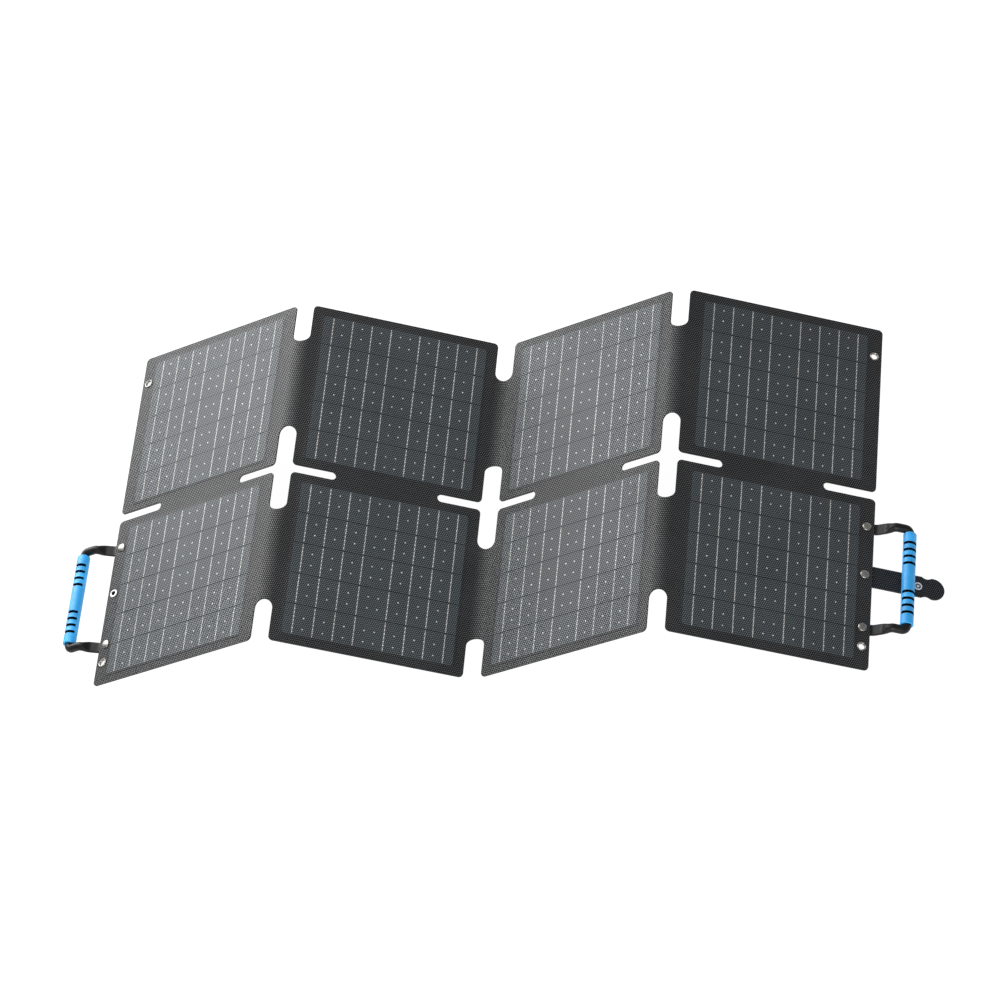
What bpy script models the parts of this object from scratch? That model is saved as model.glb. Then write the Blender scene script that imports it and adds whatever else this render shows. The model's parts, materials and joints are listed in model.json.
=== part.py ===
"""Folding solar panel: eight cell blocks in two rows and four columns, standing as a zigzag.

World axes: +X across the columns, +Y along the folds, +Z up, in metres. Each column is drawn
flat, with u across it, v along the folds and w along its front normal, and each of its pieces
hangs on an empty that sits on the column's own fold axis. w = 0 is the plane of the fold axes.
The origin is under the middle of the whole object, at the height of its lowest point.
"""
from math import acos, asin, cos, degrees, pi, radians, sin, sqrt

import bmesh
import bpy
from mathutils import Matrix, Vector

# Zigzag
TILT = radians(24.72)
INNER_WIDTH = 0.207
OUTER_WIDTH = 0.215
PANEL_HEIGHT = 0.2062
ROW_SLOT_HEIGHT = 0.0096
CREASE_WIDTH = 0.020
STRIP_WIDTH = 0.012
TONGUE = (CREASE_WIDTH - STRIP_WIDTH) / 2
STRIP_CLEARANCE = {"ridge": 0.0005, "valley": 0.0010}
HALF_HEIGHT = ROW_SLOT_HEIGHT / 2 + PANEL_HEIGHT
CORNER_RADIUS = 0.005
CREASE_SLOT_DEPTH = 0.048
CREASE_SLOT_RADIUS = CREASE_WIDTH / 2
ROW_SLOT_AT_CREASE = 0.048
ROW_SLOT_AT_EDGE = 0.057

# Layers of the laminate, as heights w
FILM_TOP = 0.0004
FILM_THICKNESS = 0.00035
FILM_RISE = 0.0011
FABRIC_TOP = -0.0005
FABRIC_BOTTOM = -0.0011
BOARD_TOP = 0.0005
BOARD_BOTTOM = -0.0002
CELL_BOTTOM = 0.00065
CELL_TOP = 0.00085
GAP = 0.0003
CUT_PAST = 0.001

# Cells: one 182 mm wafer per panel, cut into five strips
CELL_WIDTH = 0.182
STRIP_COUNT = 5
STRIP_HEIGHT = CELL_WIDTH / STRIP_COUNT
STRIP_GAP = 0.00065
BLOCK_HEIGHT = STRIP_COUNT * STRIP_HEIGHT + (STRIP_COUNT - 1) * STRIP_GAP
CELL_CHAMFER = 0.002
BOARD_OVERHANG = 0.0005
CROWN_OVERHANG = 0.0010
CROWN_SLOPE = 0.0018
LINK_U = 0.060
LINK_WIDTH = 0.002
PANEL_CENTRE_V = (ROW_SLOT_HEIGHT + PANEL_HEIGHT) / 2

# Fasteners on the outer margins
INSET = 0.0083
EYELET_V = (-0.1841, 0.1755)
HANDLE_RIVET_V = (-0.0398, -0.1613)
STRAP_V = -0.0980
RIVET_SHANK = 0.0020
RIVET_HEAD = 0.0049
RIVET_HEAD_HEIGHT = 0.0019
RIVET_TAIL = 0.0034
RIVET_TAIL_HEIGHT = 0.0010
EYELET_THROAT = 0.00315
EYELET_BARREL = 0.00395
EYELET_FLANGE = 0.0050
EYELET_TAIL = 0.0048
EYELET_ROLL = 0.0045
EYELET_LIP = 0.0005
EYELET_FLARE = 300.0
STUD_SHANK = 0.0015
STUD_RING = 0.00465
STUD_TAIL = 0.0036
STUD_BULB = 0.0018
STUD_NECK = 0.0016
STUD_HEIGHT = 0.0028
STUD_RING_HEIGHT = 0.0007

# Handles
TAB_WIDTH = 0.0126
TAB_THICKNESS = 0.0024
TAB_W = FABRIC_BOTTOM - GAP - TAB_THICKNESS / 2
TUBE_RADIUS = 0.004
GRIP_REACH = 0.0355
GRIP_W = 0.011
GRIP_RADIUS = 0.007
GRIP_BORE = 0.006
GRIP_LENGTH = 0.1102
GRIP_EDGE = 0.0006
WINDOW_PITCH = 0.00825
WINDOW_WIDTH = 0.0024
WINDOWS_PER_END = 4
GRIP_SEGMENTS = 16
WINDOW_SEGMENTS = 7
FIRST_WINDOW = 0.0132
HANDLE_BEND = 0.0055
TUBE_FLAT_END = 0.0095
TUBE_ROUND_START = 0.0205
FOOT_U = 0.0030
HANDLE_V = sum(HANDLE_RIVET_V) / 2

# Closing strap, in the plane of column 4
STRAP_WIDTH = 0.025
STRAP_THICKNESS = 0.0012
STRAP_TOP = FABRIC_BOTTOM - GAP
STRAP_BOTTOM = STRAP_TOP - STRAP_THICKNESS
STRAP_MID = (STRAP_TOP + STRAP_BOTTOM) / 2
WRAP_AXIS_U = 0.0010
CURL_AXIS_U = 0.0401
SNAP_U = 0.0500
STRAP_END_U = 0.0790
SCOOP_START_U = 0.0540
SCOOP_END_U = 0.0646
SCOOP_DEPTH = 0.0020
SCOOP_STEPS = 6
TAB_RADIUS = 0.0125
STRAP_TAIL = 0.0075
CAP_RADIUS = 0.0044
CAP_DISH = 0.0022
CAP_HEIGHT = 0.0008
SNAP_SOCKET_RADIUS = 0.0043
SNAP_SOCKET_BORE = 0.0023
SNAP_SOCKET_HEIGHT = 0.0019
SNAP_EDGE = 0.0004

# Junction box on the back of column 4, upper row
BOX_U = 0.030
BOX_V = 0.120
BOX_LENGTH = 0.070
BOX_WIDTH = 0.046
BOX_CORNER = 0.005
BOX_WALL = 0.0020
BOX_TOP = FABRIC_BOTTOM - GAP
BOX_FLOOR = BOX_TOP - 0.0008
BOX_RIM = -0.0086
GASKET_THICKNESS = 0.0003
LID_THICKNESS = 0.0007
SOCKET_U = BOX_U - 0.018
SOCKET_OUTER = 0.00355
SOCKET_INNER = 0.0030
SOCKET_LENGTH = 0.011
SOCKET_FLOOR = -0.0095
SOCKET_PIN_START = -0.0044
SOCKET_PIN = 0.0010
SCREW_INSET = 0.0042
SCREW_HOLE = 0.0012
SCREW_SHANK = 0.0009
SCREW_HEAD = 0.0020
SCREW_LENGTH = 0.0042
POCKET_CORNER = 0.0065
DIODE_BOARD = (0.046, 0.022, 0.0008)
DIODE = (0.010, 0.006, 0.0024)
DIODE_SHIFT_U = 0.010
BOARD_SHIFT_V = -0.005

# Columns: name, width, and what its left and right sides are
COLUMNS = (
    ("col1", OUTER_WIDTH, "edge", "ridge"),
    ("col2", INNER_WIDTH, "ridge", "valley"),
    ("col3", INNER_WIDTH, "valley", "ridge"),
    ("col4", OUTER_WIDTH, "ridge", "edge"),
)

# Places worked out from the sizes above
INNER_SPAN = INNER_WIDTH + 2 * TONGUE
OUTER_SPAN = OUTER_WIDTH + TONGUE
VALLEY_X = STRIP_WIDTH / 2
RIDGE_X = VALLEY_X + INNER_SPAN * cos(TILT)
EDGE_X = RIDGE_X + STRIP_WIDTH + OUTER_SPAN * cos(TILT)
RIGHT_END = EDGE_X + STRAP_END_U * cos(TILT) + STRAP_TOP * sin(TILT)
LEFT_END = EDGE_X + GRIP_REACH * cos(TILT) + GRIP_W * sin(TILT) + GRIP_RADIUS
SHIFT_X = (LEFT_END - RIGHT_END) / 2
RIDGE_Z = (OUTER_SPAN + STRAP_END_U) * sin(TILT) - STRAP_BOTTOM * cos(TILT)
VALLEY_Z = RIDGE_Z - INNER_SPAN * sin(TILT)

# Colours: (red, green, blue), roughness, metallic
FINISHES = {
    "film": ((0.035, 0.037, 0.041), 0.42, 0.0),
    "fabric": ((0.018, 0.018, 0.019), 0.85, 0.0),
    "board": ((0.30, 0.33, 0.22), 0.6, 0.0),
    "cell": ((0.03, 0.035, 0.05), 0.3, 0.0),
    "steel_black": ((0.015, 0.015, 0.015), 0.45, 0.0),
    "grip_blue": ((0.06, 0.32, 0.85), 0.4, 0.0),
    "rubber": ((0.012, 0.012, 0.012), 0.7, 0.0),
    "nickel": ((0.62, 0.60, 0.57), 0.3, 1.0),
    "webbing": ((0.02, 0.02, 0.021), 0.8, 0.0),
    "housing": ((0.02, 0.02, 0.02), 0.5, 0.0),
    "circuit": ((0.02, 0.12, 0.05), 0.5, 0.0),
}


def clear_scene():
    """Remove every object of the open scene."""
    for old in list(bpy.data.objects):
        bpy.data.objects.remove(old, do_unlink=True)


def material(node, finish):
    """A Principled material named after its node."""
    colour, roughness, metallic = FINISHES[finish]
    made = bpy.data.materials.new(node)
    made.use_nodes = True
    shader = made.node_tree.nodes["Principled BSDF"]
    shader.inputs["Base Color"].default_value = (*colour, 1.0)
    shader.inputs["Roughness"].default_value = roughness
    shader.inputs["Metallic"].default_value = metallic
    return made


def add_empty(name, location, angle, parent=None):
    """An empty on a fold axis, turned by angle about Y."""
    empty = bpy.data.objects.new(name, None)
    bpy.context.collection.objects.link(empty)
    empty.parent = parent
    empty.location = location
    empty.rotation_euler = (0.0, angle, 0.0)
    return empty


def add_piece(name, mesh_parts, finish, parent, location=(0.0, 0.0, 0.0), smooth=False):
    """Turn a bmesh into a named object with its own material under its body's empty."""
    bmesh.ops.recalc_face_normals(mesh_parts, faces=mesh_parts.faces[:])
    mesh = bpy.data.meshes.new(name)
    mesh_parts.to_mesh(mesh)
    mesh_parts.free()
    mesh.materials.append(material(name, finish))
    if smooth:
        mesh.shade_smooth()
        mesh.set_sharp_from_angle(angle=radians(35))
    piece = bpy.data.objects.new(name, mesh)
    bpy.context.collection.objects.link(piece)
    piece.parent = parent
    piece.location = location
    return piece


def cut_with(piece, cutter_mesh):
    """Boolean difference with a hidden cutter in the piece's own frame."""
    bmesh.ops.recalc_face_normals(cutter_mesh, faces=cutter_mesh.faces[:])
    mesh = bpy.data.meshes.new(piece.name + "_cutter")
    cutter_mesh.to_mesh(mesh)
    cutter_mesh.free()
    cutter = bpy.data.objects.new(piece.name + "_cutter", mesh)
    bpy.context.collection.objects.link(cutter)
    cutter.parent = piece
    cutter.hide_render = True
    cutter.display_type = "WIRE"
    modifier = piece.modifiers.new("cut", "BOOLEAN")
    modifier.operation = "DIFFERENCE"
    modifier.object = cutter


# ---------------------------------------------------------------- outlines

def arc(centre_u, centre_v, radius, start, end, steps):
    """Points on an arc from start to end, in degrees, both ends included."""
    angles = [radians(start + (end - start) * i / steps) for i in range(steps + 1)]
    return [(centre_u + radius * cos(a), centre_v + radius * sin(a)) for a in angles]


def circle(centre_u, centre_v, radius, steps=12):
    """A closed loop of points, without the repeated end."""
    return arc(centre_u, centre_v, radius, 0, 360, steps)[:-1]


def rounded_rectangle(half_u, half_v, radius, centre_u=0.0, centre_v=0.0, steps=3):
    """Corner arcs of a rectangle, counter-clockwise."""
    points = []
    for turn, (side_u, side_v) in enumerate(((1, 1), (-1, 1), (-1, -1), (1, -1))):
        corner_u = centre_u + side_u * (half_u - radius)
        corner_v = centre_v + side_v * (half_v - radius)
        points += arc(corner_u, corner_v, radius, 90 * turn, 90 * turn + 90, steps)
    return points


def tongue_points(half_width, reach):
    """The part of a panel's side that reaches into the crease, between two round slot ends."""
    inner_centre = ROW_SLOT_HEIGHT / 2 + CREASE_SLOT_DEPTH - CREASE_SLOT_RADIUS
    outer_centre = HALF_HEIGHT - CREASE_SLOT_DEPTH + CREASE_SLOT_RADIUS
    crease_u = half_width + CREASE_SLOT_RADIUS
    turn = 90 - degrees(asin((CREASE_SLOT_RADIUS - reach) / CREASE_SLOT_RADIUS))
    lower = arc(crease_u, inner_centre, CREASE_SLOT_RADIUS, 180, 180 - turn, 3)
    upper = arc(crease_u, outer_centre, CREASE_SLOT_RADIUS, 180 + turn, 180, 3)
    return lower + upper


def right_side(half_width, kind, reach):
    """Right side of a column from bottom to top, starting and ending at the panel's corners."""
    slot = ROW_SLOT_AT_EDGE if kind == "edge" else ROW_SLOT_AT_CREASE
    half_slot = ROW_SLOT_HEIGHT / 2
    upper = arc(half_width - slot + half_slot, 0, half_slot, 180, 90, 3)
    upper += arc(half_width - CORNER_RADIUS, half_slot + CORNER_RADIUS, CORNER_RADIUS, -90, 0, 3)
    if kind != "edge":
        upper += tongue_points(half_width, reach)
    upper += arc(half_width - CORNER_RADIUS, HALF_HEIGHT - CORNER_RADIUS, CORNER_RADIUS, 0, 90, 3)
    lower = [(u, -v) for u, v in reversed(upper[1:])]
    return lower + upper


def setback(kind, layer):
    """How far a layer stays from the fold axis, so that the fold closes through 90 degrees."""
    inner_layer = "fabric" if kind == "ridge" else "film"
    if layer != inner_layer:
        return GAP / 2
    depth = -FABRIC_BOTTOM if kind == "ridge" else FILM_TOP
    return depth + GAP / 3


def column_outline(width, left, right, layer):
    """Outline of one column's film or fabric, both rows with the bridge between them."""
    half = width / 2
    right_points = right_side(half, right, TONGUE - setback(right, layer))
    left_points = right_side(half, left, TONGUE - setback(left, layer))
    return right_points + [(-u, v) for u, v in reversed(left_points)]


def crease_outline(side, kind, layer):
    """Outline of a crease between its two fold axes, in one row (side is 1 or -1)."""
    reach = STRIP_WIDTH / 2 - STRIP_CLEARANCE[kind] - setback(kind, layer)
    inner_centre = ROW_SLOT_HEIGHT / 2 + CREASE_SLOT_DEPTH - CREASE_SLOT_RADIUS
    outer_centre = HALF_HEIGHT - CREASE_SLOT_DEPTH + CREASE_SLOT_RADIUS
    turn = degrees(asin(reach / CREASE_SLOT_RADIUS))
    points = arc(0, inner_centre, CREASE_SLOT_RADIUS, 90 + turn, 90 - turn, 6)
    points += arc(0, outer_centre, CREASE_SLOT_RADIUS, 270 + turn, 270 - turn, 6)
    return [(u, side * v) for u, v in points]


# ---------------------------------------------------------------- solids

def ring(mesh, points, height):
    """A closed loop of vertices and edges at one height."""
    verts = [mesh.verts.new((u, v, height)) for u, v in points]
    edges = [mesh.edges.new((verts[i - 1], vert)) for i, vert in enumerate(verts)]
    return verts, edges


def add_sheet(mesh, outline, holes, top, thickness, crowns=()):
    """A thin sheet with holes; each crown is a rectangle raised on sloping sides."""
    faces_before = set(mesh.faces)
    edges = ring(mesh, outline, top)[1]
    for hole in holes:
        edges += ring(mesh, hole, top)[1]
    for base, crown in crowns:
        base_verts, base_edges = ring(mesh, base, top)
        crown_verts = ring(mesh, crown, top + FILM_RISE)[0]
        edges += base_edges
        mesh.faces.new(crown_verts)
        for i, vert in enumerate(base_verts):
            mesh.faces.new((base_verts[i - 1], vert, crown_verts[i], crown_verts[i - 1]))
    bmesh.ops.triangle_fill(mesh, use_beauty=True, edges=edges)
    faces = [face for face in mesh.faces if face not in faces_before]
    made = bmesh.ops.extrude_face_region(mesh, geom=faces)["geom"]
    moved = [item for item in made if isinstance(item, bmesh.types.BMVert)]
    bmesh.ops.translate(mesh, verts=moved, vec=(0.0, 0.0, -thickness))


def add_loft(mesh, lower_outline, bottom, upper_outline, top):
    """A solid between two outlines with the same number of points."""
    lower = [mesh.verts.new((u, v, bottom)) for u, v in lower_outline]
    upper = [mesh.verts.new((u, v, top)) for u, v in upper_outline]
    mesh.faces.new(reversed(lower))
    mesh.faces.new(upper)
    for i in range(len(lower)):
        mesh.faces.new((lower[i - 1], lower[i], upper[i], upper[i - 1]))


def add_prism(mesh, outline, bottom, top):
    """A solid between two heights over one outline."""
    add_loft(mesh, outline, bottom, outline, top)


def add_box(mesh, centre_u, centre_v, size_u, size_v, bottom, top):
    """A plain block."""
    u0, u1 = centre_u - size_u / 2, centre_u + size_u / 2
    v0, v1 = centre_v - size_v / 2, centre_v + size_v / 2
    add_prism(mesh, [(u0, v0), (u1, v0), (u1, v1), (u0, v1)], bottom, top)


ALONG_V = Matrix.Rotation(-pi / 2, 4, "X")


def add_turned(mesh, profile, segments, place, closed):
    """Turn a profile of (radius, height) points about Z; an open profile starts and ends on it."""
    rings = []
    for radius, height in profile:
        if radius == 0:
            rings.append([mesh.verts.new(place @ Vector((0, 0, height)))])
            continue
        angles = [2 * pi * i / segments for i in range(segments)]
        points = [Vector((radius * cos(a), radius * sin(a), height)) for a in angles]
        rings.append([mesh.verts.new(place @ point) for point in points])
    pairs = list(zip(rings, rings[1:]))
    if closed:
        pairs.append((rings[-1], rings[0]))
    for first, second in pairs:
        for i in range(segments):
            if len(first) == 1:
                corners = (first[0], second[i], second[i - 1])
            elif len(second) == 1:
                corners = (first[i - 1], first[i], second[0])
            else:
                corners = (first[i - 1], first[i], second[i], second[i - 1])
            mesh.faces.new(corners)


def dome(radius, base, height, steps=3):
    """Profile of a shallow cap from its rim at base up to the axis."""
    points = []
    for i in range(steps):
        angle = pi / 2 * i / steps
        points.append((radius * cos(angle), base + height * sin(angle)))
    return points + [(0, base + height)]


# ---------------------------------------------------------------- laminate

def cell_block(half_width, half_height, centre_v):
    """A rectangle with rounded corners around one cell block."""
    return rounded_rectangle(half_width, half_height, 0.003, 0.0, centre_v, steps=2)


def fastener_holes(column):
    """Holes of one column's film and fabric, as loops; only the outer columns have any."""
    if column not in ("col1", "col4"):
        return []
    side = -1 if column == "col1" else 1
    u = side * (OUTER_WIDTH / 2 - INSET)
    holes = [circle(u, v, EYELET_BARREL + GAP) for v in EYELET_V]
    holes += [circle(u, v, RIVET_SHANK + GAP, 8) for v in HANDLE_RIVET_V]
    shank = STUD_SHANK if column == "col1" else RIVET_SHANK
    holes.append(circle(u, STRAP_V, shank + GAP, 8))
    return holes


def build_column(name, width, left, right, parent, centre_u):
    """Film, fabric, boards and cell strings of one column, drawn about its middle."""
    place = (centre_u, 0.0, 0.0)
    crowns = []
    for row in (-1, 1):
        v = row * PANEL_CENTRE_V
        half_u = CELL_WIDTH / 2 + CROWN_OVERHANG
        half_v = BLOCK_HEIGHT / 2 + CROWN_OVERHANG
        base = cell_block(half_u + CROWN_SLOPE, half_v + CROWN_SLOPE, v)
        crowns.append((base, cell_block(half_u, half_v, v)))
    film = bmesh.new()
    add_sheet(film, column_outline(width, left, right, "film"), fastener_holes(name),
              FILM_TOP, FILM_THICKNESS, crowns)
    add_piece("front_film_" + name, film, "film", parent, place)
    fabric = bmesh.new()
    add_sheet(fabric, column_outline(width, left, right, "fabric"), fastener_holes(name),
              FABRIC_TOP, FABRIC_TOP - FABRIC_BOTTOM)
    add_piece("back_fabric_" + name, fabric, "fabric", parent, place)
    for row, row_name in ((1, "top"), (-1, "bottom")):
        board = bmesh.new()
        outline = cell_block(CELL_WIDTH / 2 + BOARD_OVERHANG, BLOCK_HEIGHT / 2 + BOARD_OVERHANG,
                             row * PANEL_CENTRE_V)
        add_prism(board, outline, BOARD_BOTTOM, BOARD_TOP)
        add_piece(f"backing_board_{row_name}_{name}", board, "board", parent, place)
        cells = cell_string(row * PANEL_CENTRE_V)
        add_piece(f"cell_string_{row_name}_{name}", cells, "cell", parent, place)


def cell_string(centre_v):
    """Five strips of one wafer in series, joined by two soldered links across each gap."""
    half = CELL_WIDTH / 2
    pitch = STRIP_HEIGHT + STRIP_GAP
    inner_u = LINK_U - LINK_WIDTH / 2
    outer_u = LINK_U + LINK_WIDTH / 2
    low, high = centre_v - BLOCK_HEIGHT / 2, centre_v + BLOCK_HEIGHT / 2
    right_edge = [(half - CELL_CHAMFER, low), (half, low + CELL_CHAMFER)]
    slots = []
    for joint in range(1, STRIP_COUNT):
        bottom = low + joint * pitch - STRIP_GAP
        top = low + joint * pitch
        right_edge += [(half, bottom), (outer_u, bottom), (outer_u, top), (half, top)]
        slots.append([(-inner_u, bottom), (inner_u, bottom), (inner_u, top), (-inner_u, top)])
    right_edge += [(half, high - CELL_CHAMFER), (half - CELL_CHAMFER, high)]
    outline = right_edge + [(-u, v) for u, v in reversed(right_edge)]
    mesh = bmesh.new()
    add_sheet(mesh, outline, slots, CELL_TOP, CELL_TOP - CELL_BOTTOM)
    return mesh


def build_crease(name, kind, parent, centre_u):
    """The two laminate strips of a crease; their ends slope back on the side that closes."""
    for row, row_name in ((1, "top"), (-1, "bottom")):
        strip = bmesh.new()
        add_loft(strip, crease_outline(row, kind, "fabric"), FABRIC_BOTTOM,
                 crease_outline(row, kind, "film"), FILM_TOP)
        add_piece(f"crease{name}_{row_name}", strip, "film", parent, (centre_u, 0.0, 0.0))


# ---------------------------------------------------------------- fasteners

def eyelet_bore(height):
    """Radius of the eyelet's flared bore at one height."""
    middle = (FILM_TOP + FABRIC_BOTTOM) / 2
    return EYELET_THROAT + EYELET_FLARE * (height - middle) ** 2


def eyelet_profile():
    """Closed profile of a rolled eyelet that clamps the film and the fabric."""
    front = FILM_TOP + GAP
    back = FABRIC_BOTTOM - GAP
    top = front + EYELET_LIP
    bottom = back - EYELET_LIP
    outside = [(EYELET_ROLL, top), (EYELET_FLANGE, (front + top) / 2), (EYELET_TAIL, front),
               (EYELET_BARREL, front), (EYELET_BARREL, back), (EYELET_TAIL, back),
               (EYELET_ROLL, bottom)]
    steps = 5
    inside = [bottom + (top - bottom) * i / steps for i in range(steps + 1)]
    return outside + [(eyelet_bore(height), height) for height in inside]


def build_eyelets(side_name, side, parent, centre_u):
    """The lower and the upper eyelet on one outer margin."""
    u = side * (OUTER_WIDTH / 2 - INSET)
    for v, row_name in zip(EYELET_V, ("bottom", "top")):
        eyelet = bmesh.new()
        add_turned(eyelet, eyelet_profile(), 16, Matrix.Identity(4), closed=True)
        add_piece(f"eyelet_{side_name}_{row_name}", eyelet, "nickel", parent,
                  (centre_u + u, v, 0.0), smooth=True)


def rivet_profile(clamped_bottom):
    """Domed head, shank and set tail of a rivet through everything down to clamped_bottom."""
    tail_top = clamped_bottom - GAP
    rim = FILM_TOP + 2 * GAP
    head = list(reversed(dome(RIVET_HEAD, rim, RIVET_HEAD_HEIGHT - GAP)))
    tail = dome(RIVET_TAIL, 0.0, RIVET_TAIL_HEIGHT, steps=2)
    return (head + [(RIVET_HEAD - GAP, FILM_TOP + GAP), (RIVET_SHANK, FILM_TOP + GAP),
                    (RIVET_SHANK, tail_top)]
            + [(radius, tail_top - height) for radius, height in tail])


def build_rivets(side_name, side, parent, centre_u):
    """The two handle rivets, and on the right the strap's rivet."""
    u = side * (OUTER_WIDTH / 2 - INSET)
    tab_bottom = TAB_W - TAB_THICKNESS / 2
    rivets = [(f"handle_rivet_{side_name}_upper", HANDLE_RIVET_V[0], tab_bottom),
              (f"handle_rivet_{side_name}_lower", HANDLE_RIVET_V[1], tab_bottom)]
    if side_name == "right":
        rivets.append(("strap_rivet", STRAP_V, STRAP_BOTTOM))
    for name, v, bottom in rivets:
        rivet = bmesh.new()
        add_turned(rivet, rivet_profile(bottom), 14, Matrix.Identity(4), closed=False)
        add_piece(name, rivet, "nickel", parent, (centre_u + u, v, 0.0), smooth=True)


def build_snap_stud(parent, centre_u):
    """The snap's stud on the left margin: ring, post with a bulb, and set tail."""
    front = FILM_TOP + GAP
    tail = FABRIC_BOTTOM - GAP
    rim = 0.0006
    crown = front + STUD_HEIGHT
    ring_top = front + STUD_RING_HEIGHT
    tail_end = tail - STUD_RING_HEIGHT
    profile = [(0, crown), (STUD_BULB - rim, crown), (STUD_BULB, crown - rim),
               (STUD_NECK, crown - 2 * rim), (STUD_NECK, front + GAP),
               (STUD_NECK + rim, front + GAP), (STUD_NECK + 2 * rim, ring_top),
               (STUD_RING - rim, ring_top), (STUD_RING, front), (STUD_SHANK, front),
               (STUD_SHANK, tail), (STUD_TAIL, tail), (STUD_TAIL - rim, tail_end),
               (0, tail_end)]
    mesh = bmesh.new()
    add_turned(mesh, profile, 16, Matrix.Identity(4), closed=False)
    place = (centre_u - OUTER_WIDTH / 2 + INSET, STRAP_V, 0.0)
    add_piece("snap_stud", mesh, "nickel", parent, place, smooth=True)


# ---------------------------------------------------------------- handles

def filleted_path(corners, radii, steps):
    """Points along straight runs with an arc at each inner corner."""
    points = [corners[0]]
    for before, corner, after, radius in zip(corners, corners[1:], corners[2:], radii):
        back = (before - corner).normalized()
        ahead = (after - corner).normalized()
        half_angle = back.angle(ahead) / 2
        centre = corner + (back + ahead).normalized() * (radius / sin(half_angle))
        start = corner + back * radius / sqrt(1 / cos(half_angle) ** 2 - 1)
        arm = start - centre
        axis = back.cross(ahead).normalized()
        sweep = -(pi - 2 * half_angle)
        for i in range(steps + 1):
            points.append(centre + Matrix.Rotation(sweep * i / steps, 3, axis) @ arm)
    return points + [corners[-1]]


def handle_path():
    """Centre line of a handle on the right side, from one tab's end to the other."""
    arm_v = (HANDLE_RIVET_V[0] - HANDLE_RIVET_V[1]) / 2
    side = [Vector((-INSET - TAB_WIDTH / 2, arm_v, TAB_W)),
            Vector((FOOT_U, arm_v, TAB_W)),
            Vector((TUBE_ROUND_START, arm_v, GRIP_W)),
            Vector((GRIP_REACH, arm_v, GRIP_W))]
    corners = side + [Vector((p.x, -p.y, p.z)) for p in reversed(side)]
    bends = [0.008, 0.006, HANDLE_BEND]
    path = filleted_path(corners, bends + bends[::-1], steps=3)
    return [(point.x, point.y, point.z) for point in path]


def smooth_step(value, low, high):
    """0 below low, 1 above high, smooth between."""
    t = min(max((value - low) / (high - low), 0.0), 1.0)
    return t * t * (3 - 2 * t)


def handle_section(u):
    """Half width, half thickness and squareness of the tube at one distance from the edge."""
    round_off = smooth_step(u, TUBE_FLAT_END, TUBE_ROUND_START)
    end = -INSET - TAB_WIDTH / 2
    into_tab = min((u - end) / (TAB_WIDTH / 2), 1.0)
    plan = sqrt(max(1 - (1 - into_tab) ** 2, 0.05))
    half_width = (TAB_WIDTH / 2 * (1 - round_off) + TUBE_RADIUS * round_off) * plan
    half_thickness = TAB_THICKNESS / 2 * (1 - round_off) + TUBE_RADIUS * round_off
    return half_width, half_thickness, 5.0 - 3.0 * round_off


def dense_path(points, spacing=0.0055, grip_run=0.05):
    """The same line with extra points on its runs, apart from the long one in the grip."""
    vectors = [Vector(point) for point in points]
    result = [vectors[0]]
    for before, after in zip(vectors, vectors[1:]):
        length = (after - before).length
        count = 1 if length > grip_run else max(1, round(length / spacing))
        result += [before.lerp(after, (i + 1) / count) for i in range(count)]
    return result


def add_swept_tube(mesh, path, sections, first_side, segments=10):
    """Sweep superelliptic sections along a path, carrying the side direction along it."""
    side = Vector(first_side)
    rings = []
    for i, centre in enumerate(path):
        ahead = path[min(i + 1, len(path) - 1)] - path[max(i - 1, 0)]
        ahead.normalize()
        side = (side - ahead * side.dot(ahead)).normalized()
        up = ahead.cross(side)
        half_width, half_thickness, power = sections[i]
        verts = []
        for k in range(segments):
            angle = 2 * pi * (k + 0.5) / segments
            along_side = abs(cos(angle)) ** (2 / power) * (1 if cos(angle) > 0 else -1)
            along_up = abs(sin(angle)) ** (2 / power) * (1 if sin(angle) > 0 else -1)
            offset = side * (half_width * along_side) + up * (half_thickness * along_up)
            verts.append(mesh.verts.new(centre + offset))
        rings.append(verts)
    for first, second in zip(rings, rings[1:]):
        for k in range(segments):
            mesh.faces.new((first[k - 1], first[k], second[k], second[k - 1]))
    mesh.faces.new(reversed(rings[0]))
    mesh.faces.new(rings[-1])


def build_handle(side_name, side, parent, centre_u):
    """Bent tube with flattened ends, grip sleeve and the rubber rings in its grooves."""
    edge_u = centre_u + side * OUTER_WIDTH / 2
    mirror = Matrix.Scale(side, 4, (1, 0, 0))
    path = dense_path(handle_path())
    tube = bmesh.new()
    add_swept_tube(tube, path, [handle_section(point.x) for point in path], (0, 1, 0))
    bmesh.ops.transform(tube, matrix=mirror, verts=tube.verts[:])
    piece = add_piece("handle_tube_" + side_name, tube, "steel_black", parent,
                      (edge_u, HANDLE_V, 0.0), smooth=True)
    holes = bmesh.new()
    for v in HANDLE_RIVET_V:
        drill = circle(-side * INSET, v - HANDLE_V, RIVET_SHANK + GAP, 8)
        add_prism(holes, drill, TAB_W - TAB_THICKNESS, TAB_W + TAB_THICKNESS)
    cut_with(piece, holes)
    middle = (edge_u + side * GRIP_REACH, HANDLE_V, GRIP_W)
    core, sleeve, windows = bmesh.new(), bmesh.new(), bmesh.new()
    core_profile = tube_profile(TUBE_RADIUS + GAP, GRIP_BORE - GAP)
    add_turned(core, core_profile, GRIP_SEGMENTS, ALONG_V, closed=True)
    add_piece("grip_core_" + side_name, core, "rubber", parent, middle, smooth=True)
    sleeve_profile = tube_profile(GRIP_BORE, GRIP_RADIUS)
    add_turned(sleeve, sleeve_profile, GRIP_SEGMENTS, ALONG_V, closed=True)
    shell = add_piece("grip_sleeve_" + side_name, sleeve, "grip_blue", parent, middle,
                      smooth=True)
    for place in window_places():
        add_window_cutter(windows, place)
    cut_with(shell, windows)


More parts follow.
